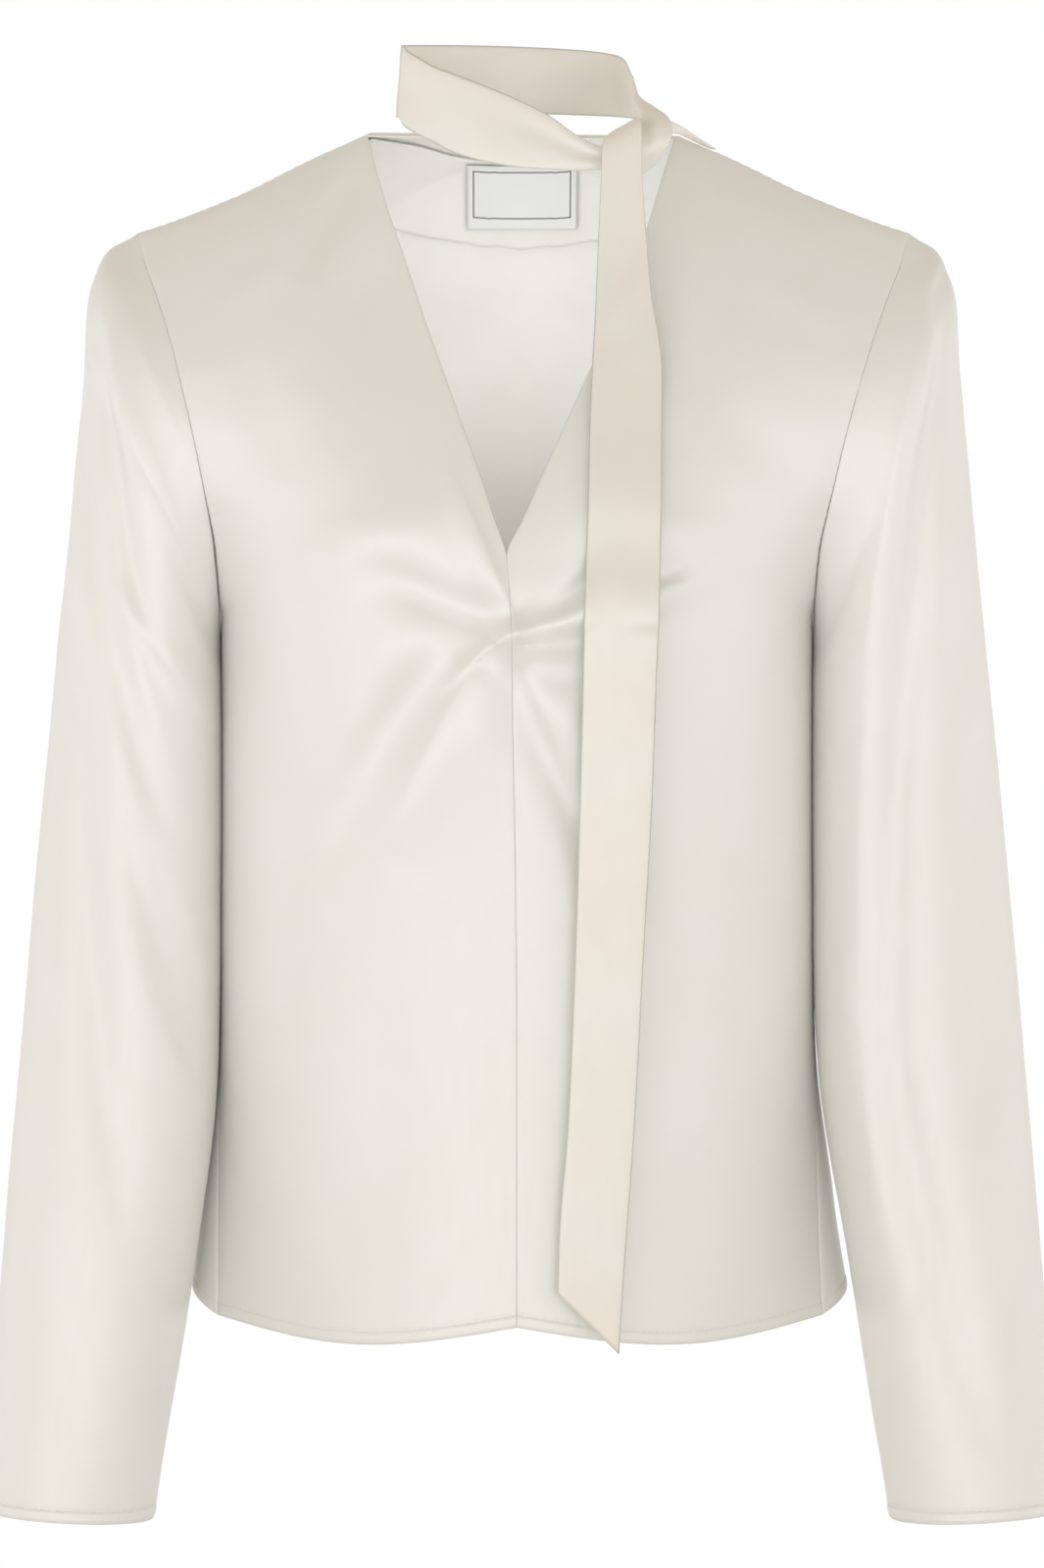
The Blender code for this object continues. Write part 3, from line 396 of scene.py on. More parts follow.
# Creases on each stretch of the tie: place along and across it, from 0 to 1, at the start and at the end of
# the line, then height and width along. How wide a crease is across, and the strength along its line.
CREASE_WIDTH = 0.22
CREASE_SAMPLES = 31
CREASE_START = 0.15
CREASE_SPAN = 0.7
TIE_FRONT_CREASES = (
    (0.40, 0.30, 0.66, 0.52, -0.9, 0.09),
    (0.52, 0.12, 0.68, 0.30, 0.7, 0.08),
    (0.56, 0.62, 0.68, 0.80, 0.8, 0.08),
    (0.02, 0.55, 0.16, 0.45, -0.8, 0.10),
)
TIE_BACK_CREASES = (
    (0.10, 0.70, 0.45, 0.55, -0.8, 0.12),
    (0.62, 0.25, 0.95, 0.40, 0.9, 0.12),
)
TIE_HITCH_CREASES = (
    (0.10, 0.35, 0.50, 0.55, 1.2, 0.10),
    (0.30, 0.80, 0.62, 0.70, -1.2, 0.08),
)
TIE_TAIL_CREASES = (
    (0.05, 0.30, 0.20, 0.62, -0.7, 0.05),
    (0.27, 0.05, 0.335, 0.85, 1.3, 0.012),
    (0.36, 0.80, 0.46, 0.10, -0.6, 0.03),
    (0.55, 0.15, 0.66, 0.85, 0.5, 0.03),
    (0.74, 0.90, 0.86, 0.20, -0.5, 0.03),
)
TAIL_RAY_START = -300.0

# How seams and hems are finished: half the seam gap, the seam's dip and reach, how free edges roll in, the
# hem's turned band with its swell, soft step and groove, and the pucker along both
SEAM_HALF_GAP = 0.02
SEAM_DIP = 0.4
SEAM_REACH = 1.1
FREE_EDGE_ROLL = 0.5
MIDDLE_SEAM_DIP = 0.12
HEM_BAND = 6.0
HEM_SWELL = 0.35
HEM_GROOVE = 0.40
HEM_GROOVE_REACH = 0.8
HEM_STEP = 0.5
STEP_LIMIT = 30.0
PUCKER = 0.16
PUCKER_LENGTH = 5.5
# Where a pucker lies beside its seam and how far it reaches, then how its waves drift: how much, over what
SEAM_PUCKER = (2.5, 2.6)
HEM_PUCKER_REACH = 3.0
SEAM_DRIFT = (1.7, 23.0)
HEM_DRIFT = (1.3, 31.0)
# The cloth's slight unevenness: depth and size of its two noises
RIPPLE = 0.5
RIPPLE_SIZE = 55.0
SMALL_RIPPLE = 0.10
SMALL_RIPPLE_SIZE = 14.0

# The row where the V starts, and the share of the panel next to the middle over which ripples die out
V_ROW = 7.6
MIDDLE_FADE = 0.05

# Stitches: length, gap and radius; the sections of one, place along it and thickness; how many corners a
# section has, how high the thread arches and how far ahead its direction is read
STITCH = (2.6, 0.9, 0.16)
STITCH_SECTIONS = ((0.0, 0.35), (0.18, 0.9), (0.5, 1.0), (0.82, 0.9), (1.0, 0.35))
STITCH_CORNERS = 6
STITCH_ARCH = 0.6
STITCH_AHEAD = 0.2

# Grid lines: a start, then each next stop and the number of steps up to it
FRONT_ROW_STOPS = (0.0, (0.16, 14), (3.6, 80), (5.0, 60), (9.0, 64), (14.9, 64), (15.0, 4))
FRONT_U_STOPS = (0.0, (0.012, 3), (0.30, 36), (0.985, 40), (1.0, 4))
BACK_ROW_STOPS = (0.0, (0.08, 3), (4.0, 40), (13.0, 190), (13.87, 20), (14.0, 14))
BACK_U_STOPS = (0.0, (0.985, 62), (1.0, 4))
SLEEVE_ROW_STOPS = (0.0, (0.04, 4), (10.78, 190), (11.0, 14))
ARMHOLE_STEPS = 6
FACING_LINES = (22, 60)
# Corners of one piece that are this close are joined
WELD_GAP = 0.02

# The label's wall in the scene, and its steps across and down
LABEL_CLOTH_WALL = 0.6
LABEL_LINES = (40, 26)
# How far the label's line is from its edges, and half of its width
LABEL_INSET_X = 3.2
LABEL_INSET_Y = 3.2
LABEL_LINE_HALF = 0.25

# Colours, linear
SATIN = (0.900, 0.912, 0.895)
SATIN_DEEP = (0.882, 0.888, 0.864)
SATIN_BACK = (0.860, 0.850, 0.815)
TIE_SATIN = (0.885, 0.850, 0.775)
LABEL_CLOTH = (0.80, 0.81, 0.80)
LABEL_LINE = (0.16, 0.16, 0.155)
THREAD = (0.83, 0.81, 0.74)
SHEEN_TINT = (1.0, 0.97, 0.92, 1.0)
SHEEN_ROUGHNESS = 0.4
SPECULAR_LEVEL = 0.4
# The satin's noises: how much it is stretched along the threads, then scale, detail and roughness of each
THREAD_STRETCH = (1.0, 0.22, 1.0)
THREAD_NOISE = (2600.0, 2.0, 0.5)
SLUB_NOISE = (260.0, 3.0, 0.55)
TONE_NOISE = (14.0, 3.0, 0.5)
TONE_RANGE = (0.35, 0.75)
SLUB_RANGE = (0.3, 0.7)
# How far slubs move the roughness down and up, and strength and depth of the bumps
ROUGHNESS_SPREAD = (-0.03, 0.04)
THREAD_DEPTH = 0.0002
SLUB_BUMP = (0.10, 0.0004)
# Each material: roughness, lustre, sheen and the strength of its threads
SATIN_LOOK = (0.50, 0.26, 0.30, 0.05)
REVERSE_LOOK = (0.62, 0.0, 0.15, 0.08)
TIE_LOOK = (0.48, 0.20, 0.30, 0.05)
LABEL_LOOK = (0.5, 0.0, 0.1, 0.05)
THREAD_LOOK = (0.45, 0.1, 0.2, 0.05)

# The surround's light from straight below (0) to straight above (1), then each light: place, aim, size,
# watts and colour
SKY_STRENGTH = 1.09
SKY_STOPS = (
    (0.0, (0.92, 0.92, 0.92, 1.0)),
    (0.56, (1.0, 1.0, 1.0, 1.0)),
    (0.66, (0.54, 0.48, 0.40, 1.0)),
    (1.0, (0.47, 0.415, 0.345, 1.0)),
)
# The surround beside the part: its light, and the shares of depth between which it changes to the front's
SIDE_LIGHT = 1.12
SIDE_RANGE = (0.2, 0.85)
WHITE = (1.0, 1.0, 1.0, 1.0)
SOFTBOXES = (
    ("soft_front", (0.0, -3.3, -0.4), (0.0, 0.0, -0.35), (3.2, 1.4), 11.0, (1.0, 1.0, 1.0)),
    ("soft_right", (-1.9, -2.6, -0.6), (0.0, 0.0, -0.35), (1.2, 1.1), 4.0, (1.0, 1.0, 1.0)),
    ("inside", (0.0, -0.03, -0.12), (0.0, 0.08, -0.07), (0.14, 0.10), 0.10, (1.0, 1.0, 1.0)),
)
FLOOR_Z = -1.4
FLOOR_RADIUS = 3.0
FLOOR_CORNERS = 96
FLOOR_COLOUR = (0.85, 0.85, 0.85, 1.0)
FLOOR_ROUGHNESS = 0.9

# The camera: sensor width in millimetres, its focal length in the photograph's pixels, the photograph's
# height in pixels, and its place
SENSOR = 36.0
FOCAL_PIXELS = 6250.0
FRAME_HEIGHT = 1599.0
CAMERA_PLACE = (0.0, -3.0, -0.318)


def column(rows, columns, name):
    """One column of a table as an array."""
    return np.array([row[columns.index(name)] for row in rows], float)


def smooth(values, at, first_slope=None, last_slope=None):
    """A curve through evenly numbered values that never overshoots them, read at fractional numbers."""
    values = np.asarray(values, float)
    at = np.clip(np.asarray(at, float), 0.0, len(values) - 1.0)
    steps = np.diff(values)
    slopes = np.empty(len(values))
    slopes[0] = steps[0] if first_slope is None else first_slope
    slopes[-1] = steps[-1] if last_slope is None else last_slope
    before, after = steps[:-1], steps[1:]
    same_way = before * after > 0
    total = np.where(same_way, before + after, 1.0)
    slopes[1:-1] = np.where(same_way, 2.0 * before * after / total, 0.0)
    first = np.minimum(at.astype(int), len(values) - 2)
    t = at - first
    start, end = values[first], values[first + 1]
    rise, arrive = slopes[first], slopes[first + 1]
    return (
        start * (1 + 2 * t) * (1 - t) ** 2
        + rise * t * (1 - t) ** 2
        + end * t * t * (3 - 2 * t)
        + arrive * t * t * (t - 1)
    )


def flowing(values, at):
    """A smooth curve through evenly numbered values with the slope of their neighbours."""
    values = np.asarray(values, float)
    at = np.clip(np.asarray(at, float), 0.0, len(values) - 1.0)
    slopes = np.gradient(values, axis=0)
    first = np.minimum(at.astype(int), len(values) - 2)
    t = (at - first).reshape((-1,) + (1,) * (values.ndim - 1))
    return (
        values[first] * (1 + 2 * t) * (1 - t) ** 2
        + slopes[first] * t * (1 - t) ** 2
        + values[first + 1] * t * t * (3 - 2 * t)
        + slopes[first + 1] * t * t * (t - 1)
    )


def curve_point(inner, inner_handle, outer_handle, outer, u):
    """A point on a section line, which is a cubic curve between its inner and outer point."""
    return (
        inner * (1 - u) ** 3
        + 3 * inner_handle * u * (1 - u) ** 2
        + 3 * outer_handle * u * u * (1 - u)
        + outer * u ** 3
    )


def section(mid, out, angle, crown, sag, fall, sag_place, u):
    """Points along a section line from mid to out, each an (x, y, z) of arrays."""
    turn = np.radians(angle)
    reach = (out[0] - mid[0], out[1] - mid[1], out[2] - mid[2])
    x = curve_point(mid[0], mid[0] + INNER_REACH * reach[0],
                    out[0] - OUTER_REACH * reach[0] * np.cos(turn), out[0], u)
    y = curve_point(mid[1], mid[1], out[1] - OUTER_REACH * reach[1] * np.sin(turn), out[1], u)
    z = curve_point(mid[2], mid[2] + INNER_REACH * reach[2] * fall,
                    out[2] - OUTER_REACH * reach[2] * OUTER_DROP, out[2], u)
    swell = np.sin(np.pi * np.clip(u, 0.0, 1.0))
    return x, y + crown * swell, z + sag * np.sin(np.pi * np.clip(u, 0.0, 1.0) ** sag_place)


def beside_line(x, z, line):
    """Points against a curved line: their squared distance, how far along it they are, and if on its left."""
    x1, z1, bend_x, bend_z, x2, z2 = line
    along = np.linspace(0.0, 1.0, LINE_STRETCHES + 1)
    line_x = (1 - along) ** 2 * x1 + 2 * along * (1 - along) * bend_x + along ** 2 * x2
    line_z = (1 - along) ** 2 * z1 + 2 * along * (1 - along) * bend_z + along ** 2 * z2
    nearest = np.full(np.shape(x), np.inf)
    share = np.zeros(np.shape(x))
    left = np.zeros(np.shape(x), bool)
    for number in range(LINE_STRETCHES):
        step_x = line_x[number + 1] - line_x[number]
        step_z = line_z[number + 1] - line_z[number]
        off_x = x - line_x[number]
        off_z = z - line_z[number]
        at = np.clip((off_x * step_x + off_z * step_z) / (step_x ** 2 + step_z ** 2), 0.0, 1.0)
        gap = (off_x - at * step_x) ** 2 + (off_z - at * step_z) ** 2
        closer = gap < nearest
        nearest = np.where(closer, gap, nearest)
        share = np.where(closer, (number + at) / LINE_STRETCHES, share)
        left = np.where(closer, step_x * off_z - step_z * off_x > 0, left)
    return nearest, share, left


def fold_field(folds, x, z):
    """How far the folds move the cloth out at points of the front view."""
    x, z = np.broadcast_arrays(x, z)
    moved = np.zeros(np.shape(x))
    for *line, height, width in folds:
        gap, share, _ = beside_line(x, z, line)
        strength = np.sin(np.pi * (FOLD_START + FOLD_SPAN * share)) ** FOLD_POWER
        moved = moved + height * strength * np.exp(-gap / width ** 2)
    return moved


def side_fade(u):
    """1 over a panel and 0 at its outer seam, so that folds leave the seams alone."""
    share = np.clip((1.0 - u) / FADE_SHARE, 0.0, 1.0)
    return share ** 2 * (3 - 2 * share)


def front_point(side, u, row):
    """A point of a front panel's outer face: u across, row in the table's numbering."""
    u, row = np.broadcast_arrays(np.asarray(u, float), np.asarray(row, float))
    value = {}
    for name in FRONT_COLUMNS:
        numbers = column(FRONT_ROWS, FRONT_COLUMNS, name)
        value[name] = smooth(numbers, row, last_slope=SHOULDER_SLOPES.get(name))
    mid_x = value["right_x"] if side == RIGHT else value["left_x"]
    mid = (mid_x, value["mid_y"], value["mid_z"])
    out = (side * value["out_x"] + value["lean"], value["out_y"], value["out_z"])
    x, y, z = section(mid, out, value["angle"], -value["crown"], value["sag"], 1.0, 1.0, u)
    y = y - fold_field(FRONT_FOLDS, x, z) * side_fade(u)
    return np.stack([x, y, z], axis=-1)


def back_point(side, u, row):
    """A point of one half of the back's outer face."""
    u, row = np.broadcast_arrays(np.asarray(u, float), np.asarray(row, float))
    value = {}
    for name in BACK_COLUMNS:
        numbers = column(BACK_ROWS, BACK_COLUMNS, name)
        value[name] = smooth(numbers, row, first_slope=SHOULDER_SLOPES.get(name))
        if name in NECK_SLOPES:
            on_neck = smooth(numbers[:BACK_NECK + 1], row, SHOULDER_SLOPES.get(name), NECK_SLOPES[name])
            below = smooth(numbers[BACK_NECK:], row - BACK_NECK)
            value[name] = np.where(row < BACK_NECK, on_neck, below)
    mid = (side * value["mid_x"], value["mid_y"], value["mid_z"])
    out = (side * value["out_x"] + value["lean"], value["out_y"], value["out_z"])
    shape = (value["angle"], value["crown"], value["sag"], value["fall"])
    x, y, z = section(mid, out, *shape, BACK_SAG_PLACE, u)
    y = y + fold_field(BACK_FOLDS, x, z) * side_fade(u)
    return np.stack([x, y, z], axis=-1)


def pulled_back(points, ends, amount):
    """A grid with the named edges drawn in along its own lines, which leaves the seam gaps."""
    points = points.copy()
    for end in ends:
        if end == "first column":
            edge, inner = (slice(None), 0), (slice(None), 1)
        elif end == "last column":
            edge, inner = (slice(None), -1), (slice(None), -2)
        elif end == "first row":
            edge, inner = (0, slice(None)), (1, slice(None))
        else:
            edge, inner = (-1, slice(None)), (-2, slice(None))
        step = points[inner] - points[edge]
        length = np.linalg.norm(step, axis=-1, keepdims=True)
        points[edge] = points[edge] + step * np.minimum(amount / length, MOST_OF_STEP)
    return points


def row_numbers(first, last, steps):
    """Fractional row numbers from first to last, with this many steps a row."""
    return np.linspace(first, last, (last - first) * steps + 1)


def armhole(side, steps):
    """The armhole as a closed loop: from the underarm up the front to the shoulder and down the back."""
    front = front_point(side, 1.0, row_numbers(FRONT_UNDERARM, FRONT_TOP, steps))
    back = back_point(side, 1.0, row_numbers(0, BACK_UNDERARM, steps))
    return np.concatenate([front, back[1:]])


def ring(side, number, around):
    """A sleeve ring at a fractional row number."""
    value = {}
    for name in RING_COLUMNS:
        value[name] = flowing(column(RING_ROWS, RING_COLUMNS, name), number)
    inner = np.array([side * value["in_x"] + value["lean"], value["in_z"]])
    outer = np.array([side * value["out_x"], value["out_z"]])
    turn = 2 * np.pi * around
    share = (1 - np.cos(turn)) / 2
    x = inner[0] + (outer[0] - inner[0]) * share
    z = inner[1] + (outer[1] - inner[1]) * share
    y = value["mid_y"] - value["half_y"] * np.sign(np.sin(turn)) * np.abs(np.sin(turn)) ** RING_ROUNDNESS
    return np.stack([x, y, z], axis=-1)


def sleeve_folds(folds, around, down, girth, length):
    """How far a sleeve's folds move its cloth out."""
    on_sleeve = []
    for around1, down1, around_bend, down_bend, around2, down2, height, width in folds:
        on_sleeve.append((around1 * girth, down1 * length, around_bend * girth, down_bend * length,
                          around2 * girth, down2 * length, height, width))
    return fold_field(on_sleeve, around * girth, down * length)


def band_grid(rows, across, steps):
    """A stretch of the tie: rows of points along it, each straight across from edge to edge."""
    table = np.array(rows, float)
    table = flowing(table, np.linspace(0.0, len(rows) - 1.0, (len(rows) - 1) * steps + 1))
    share = np.linspace(0.0, 1.0, across + 1)[None, :, None]
    return table[:, None, :3] * (1 - share) + table[:, None, 3:] * share


def depth_over(samples, x, z):
    """The depth of a sampled face at a place of the front view, from a plane through its nearest samples."""
    gap = (samples[:, 0] - x) ** 2 + (samples[:, 2] - z) ** 2
    near = samples[np.argsort(gap)[:NEAR_SAMPLES]]
    middle = near.mean(axis=0)
    plane = near[:, [0, 2]] - middle[[0, 2]]
    slopes = np.linalg.lstsq(plane, near[:, 1] - middle[1], rcond=FLAT_SHARE)[0]
    return middle[1] + slopes[0] * (x - middle[0]) + slopes[1] * (z - middle[2])


def surface_frame(side, u, row):
    """Points of the back with their two directions, along u and along the rows, and their inward normals."""
    step = SURFACE_STEP
    middle = back_point(side, u, row)
    along_u = (back_point(side, u + step, row) - middle) / step
    along_row = (back_point(side, u, row + step) - middle) / step
    normal = np.cross(along_u, along_row) * -side[:, None]
    normal = normal / np.linalg.norm(normal, axis=-1, keepdims=True)
    return middle, along_u, along_row, normal


def dots(a, b):
    """Row by row dot products."""
    return np.sum(a * b, axis=-1, keepdims=True)


def facing_grid(depth_steps, half_steps):
    """The facing inside the back neckline, from shoulder seam to shoulder seam, made from the back's points.

    Lines start along the neckline and run straight away from it over the cloth to the facing's depth.
    """
    place = np.linspace(-1.0, 1.0, 2 * half_steps + 1)
    side = np.where(place > 0, LEFT, RIGHT)
    row = BACK_NECK * (1.0 - np.abs(place))
    u = np.zeros(len(place))
    middle, along_u, along_row, normal = surface_frame(side, u, row)
    edge = np.where((row < BACK_NECK)[:, None], along_row, along_u)
    heading = np.cross(normal, edge)
    heading = np.where(heading[:, 2:3] > 0, -heading, heading)
    inset = WALL + FACING_GAP + FACING_TURN_GAP * np.abs(place)[:, None] ** 3
    lines = [middle + normal * inset]
    depth = FACING_DEPTH + FACING_SIDE_DEPTH * np.abs(place)[:, None]
    stride = depth / (depth_steps * FACING_SUBSTEPS)
    for number in range(1, depth_steps * FACING_SUBSTEPS + 1):
        heading = heading - normal * dots(heading, normal)
        heading = heading / np.linalg.norm(heading, axis=-1, keepdims=True)
        uu, ur, rr = dots(along_u, along_u), dots(along_u, along_row), dots(along_row, along_row)
        hu, hr = dots(heading, along_u), dots(heading, along_row)
        spread = uu * rr - ur * ur
        u = np.maximum(u + (stride * (hu * rr - hr * ur) / spread)[:, 0], 0.0)
        row = row + (stride * (hr * uu - hu * ur) / spread)[:, 0]
        middle, along_u, along_row, normal = surface_frame(side, u, row)
        if number % FACING_SUBSTEPS == 0:
            lines.append(middle + normal * inset)
    points = pulled_back(np.array(lines), ("first row",), FACING_TOP_GAP)
    return pulled_back(points, ("first column", "last column"), FACING_END_GAP)


def spaced(stops):
    """Numbers from the first stop on: each later stop gives an end and how many steps lead to it."""
    numbers = [stops[0]]
    for end, steps in stops[1:]:
        numbers.extend(np.linspace(numbers[-1], end, steps + 1)[1:])
    return np.array(numbers)


def crease_field(creases, x, z):
    """How far the creases move the cloth out at points of the front view."""
    moved = np.zeros(np.shape(x))
    for *line, height, sharp, soft in creases:
        gap, share, left = beside_line(x, z, line)
        strength = np.sin(np.pi * (FOLD_START + FOLD_SPAN * share)) ** FOLD_POWER
        shape = np.where(left, np.exp(-gap / soft ** 2), np.exp(-np.sqrt(gap) / sharp))
        moved = moved + height * strength * shape
    return moved


def grid_normals(points, outward):
    """Unit normals of a grid; outward is 1 or -1, whichever makes them face out."""
    across = np.gradient(points, axis=1)
    down = np.gradient(points, axis=0)
    normal = np.cross(across, down) * outward
    return normal / np.maximum(np.linalg.norm(normal, axis=-1, keepdims=True), TINY)


def distance_from(points, edge):
    """How far each point is from a named edge, along the grid's own lines."""
    axis = 1 if "column" in edge else 0
    steps = np.linalg.norm(np.diff(points, axis=axis), axis=-1)
    start = np.zeros_like(np.take(steps, [0], axis=axis))
    if edge.startswith("first"):
        return np.concatenate([start, np.cumsum(steps, axis=axis)], axis=axis)
    steps = np.flip(steps, axis=axis)
    return np.flip(np.concatenate([start, np.cumsum(steps, axis=axis)], axis=axis), axis=axis)


def rippled(points, normals):
    """The cloth's slight unevenness, from two sizes of noise."""
    flat = points.reshape(-1, 3)
    large = [noise.noise(Vector(p) / RIPPLE_SIZE) for p in flat]
    small = [noise.noise(Vector(p) / SMALL_RIPPLE_SIZE) for p in flat]
    moved = RIPPLE * np.array(large) + SMALL_RIPPLE * np.array(small)
    return points + normals * moved.reshape(points.shape[:2] + (1,))


def pucker_wave(place, drift):
    """The wave of a pucker along an edge, whose length drifts a little."""
    amount, length = drift
    return np.sin(2 * np.pi * place / PUCKER_LENGTH + amount * np.sin(place / length))


def finished_edges(points, normals, seams, hems):
    """Seams dip in, and hems get their turned band with a groove where their stitches run."""
    moved = np.zeros(points.shape[:2])
    for edge in seams:
        gap = distance_from(points, edge)
        moved -= SEAM_DIP * np.exp(-(gap / SEAM_REACH) ** 2)
        place = distance_from(points, "first row" if "column" in edge else "first column")
        wave = pucker_wave(place, SEAM_DRIFT)
        moved += PUCKER * wave * np.exp(-((gap - SEAM_PUCKER[0]) / SEAM_PUCKER[1]) ** 2)
    for edge in hems:
        gap = distance_from(points, edge)
        place = distance_from(points, "first row" if "column" in edge else "first column")
        wave = pucker_wave(place, HEM_DRIFT)
        step = np.clip((gap - HEM_BAND) / HEM_STEP, -STEP_LIMIT, STEP_LIMIT)
        moved += HEM_SWELL / (1 + np.exp(step))
        moved -= HEM_GROOVE * np.exp(-((gap - HEM_BAND) / HEM_GROOVE_REACH) ** 2)
        moved += PUCKER * wave * np.exp(-((gap - HEM_BAND) / HEM_PUCKER_REACH) ** 2)
        moved -= FREE_EDGE_ROLL * np.exp(-(gap / SEAM_REACH) ** 2)
    return points + normals * moved[..., None]


def front_cloth(side):
    """A front panel's outer face with its creases, and the way that it faces."""
    rows = spaced(FRONT_ROW_STOPS)
    u = spaced(FRONT_U_STOPS)
    points = front_point(side, u[None, :], rows[:, None])
    depth = crease_field(FRONT_CREASES, points[..., 0], points[..., 2])
    depth += fold_field(FRONT_FINE_FOLDS, points[..., 0], points[..., 2])
    for x, z, height, reach in FRONT_KNOTS:
        gap = (points[..., 0] - x) ** 2 + (points[..., 2] - z) ** 2
        depth += height * np.exp(-gap / reach ** 2)
    points[..., 1] -= depth * side_fade(u)[None, :]
    points = pulled_back(points, ("last column", "last row"), SEAM_HALF_GAP)
    outward = 1 if side == LEFT else -1
    normals = grid_normals(points, outward)
    points = rippled(points, normals * (side_fade(u) * np.clip(u / MIDDLE_FADE, 0.0, 1.0))[None, :, None])
    points = finished_edges(points, normals, ("last column", "last row"), ("first row",))
    open_share = np.clip(rows - V_ROW, 0.0, 1.0)[:, None]
    roll = MIDDLE_SEAM_DIP + (FREE_EDGE_ROLL - MIDDLE_SEAM_DIP) * open_share
    roll = roll * np.exp(-(distance_from(points, "first column") / SEAM_REACH) ** 2)
    return points - normals * roll[..., None], outward


def back_cloth():
    """The back's outer face, from its right side seam to its left one."""
    rows = spaced(BACK_ROW_STOPS)
    u = spaced(BACK_U_STOPS)
    right = back_point(RIGHT, u[None, ::-1], rows[:, None])
    left = back_point(LEFT, u[None, 1:], rows[:, None])
    points = np.concatenate([right, left], axis=1)
    fade = np.concatenate([side_fade(u)[::-1], side_fade(u)[1:]])
    points[..., 1] += fold_field(BACK_FINE_FOLDS, points[..., 0], points[..., 2]) * fade[None, :]
    points = pulled_back(points, ("first column", "last column", "first row"), SEAM_HALF_GAP)
    normals = grid_normals(points, 1)
    points = rippled(points, normals * fade[None, :, None])
    seams = ("first column", "last column", "first row")
    return finished_edges(points, normals, seams, ("last row",))


def sleeve_cloth(side):
    """A sleeve's outer face: rows from the armhole to the cuff, columns round it from the underarm."""
    loop = armhole(side, ARMHOLE_STEPS)
    in_front = (FRONT_TOP - FRONT_UNDERARM) * ARMHOLE_STEPS
    around = np.concatenate([
        np.linspace(0.0, 0.5, in_front + 1),
        np.linspace(0.5, 1.0, len(loop) - in_front)[1:],
    ])
    loop = loop + np.array([side * SEAM_HALF_GAP, 0.0, 0.0])
    stations = [loop]
    for number in range(len(RING_ROWS)):
        stations.append(ring(side, np.array([float(number)]), around))
    rows = spaced(SLEEVE_ROW_STOPS)
    points = flowing(np.array(stations), rows)
    head = np.sin(np.pi * np.clip(rows, 0.0, 1.0))[:, None] ** SLEEVE_HEAD_POWERS[0]
    head = head * np.sin(np.pi * around)[None, :] ** SLEEVE_HEAD_POWERS[1]
    points[..., 0] += side * SLEEVE_HEAD[0] * head
    points[..., 2] += SLEEVE_HEAD[1] * head
    down = (rows / rows[-1])[:, None]
    moved = sleeve_folds(LARGE_SLEEVE_FOLDS[side], around[None, :], down, SLEEVE_GIRTH, SLEEVE_LENGTH)
    moved += sleeve_folds(FINE_SLEEVE_FOLDS[side], around[None, :], down, SLEEVE_GIRTH, SLEEVE_LENGTH)
    in_view = np.clip(np.sin(2 * np.pi * around[None, :]) * SLEEVE_INNER_FADE, 0.0, 1.0)
    moved += crease_field(SLEEVE_CREASES[side], points[..., 0], points[..., 2]) * in_view
    fade = np.clip(down / SLEEVE_TOP_FADE, 0.0, 1.0) * np.clip((1.0 - down) / SLEEVE_CUFF_FADE, 0.0, 1.0)
    fade = fade * np.clip(np.sin(np.pi * around[None, :]) * SLEEVE_INNER_FADE, 0.0, 1.0)
    middle = points[:, :-1].mean(axis=1, keepdims=True)
    away = points - middle
    away[..., 2] = 0.0
    away = away / np.linalg.norm(away, axis=-1, keepdims=True)
    points = points + away * (moved * fade)[..., None]
    points = pulled_back(points, ("first row",), SEAM_HALF_GAP)
    outward = 1 if side == RIGHT else -1
    normals = grid_normals(points, outward)
    normals[:, 0] = normals[:, -1] = (normals[:, 0] + normals[:, -1]) / 2
    points = rippled(points, normals)
    points = finished_edges(points, normals, ("first row",), ("last row",))
    points[:, -1] = points[:, 0]
    return points, outward


def band_surface(rows, creases):
    """A band's middle surface, from its table, with its creases pressed in."""
    points = band_grid(rows, BAND_ACROSS, BAND_STEPS)
    normals = grid_normals(points, 1)
    along = np.linspace(0.0, 1.0, points.shape[0])[:, None]
    across = np.linspace(0.0, 1.0, points.shape[1])[None, :]
    moved = BAND_BULGE * np.sin(np.pi * across) * np.ones_like(along)
    for along1, across1, along2, across2, height, width in creases:
        share = np.linspace(0.0, 1.0, CREASE_SAMPLES)
        line_along = along1 + (along2 - along1) * share
        line_across = across1 + (across2 - across1) * share
        gap = ((along[..., None] - line_along) / width) ** 2
        gap = gap + ((across[..., None] - line_across) / CREASE_WIDTH) ** 2
        nearest = np.argmin(gap, axis=-1)
        strength = np.sin(np.pi * (CREASE_START + CREASE_SPAN * share[nearest]))
        moved = moved + height * strength * np.exp(-np.min(gap, axis=-1))
    return points + normals * moved[..., None]


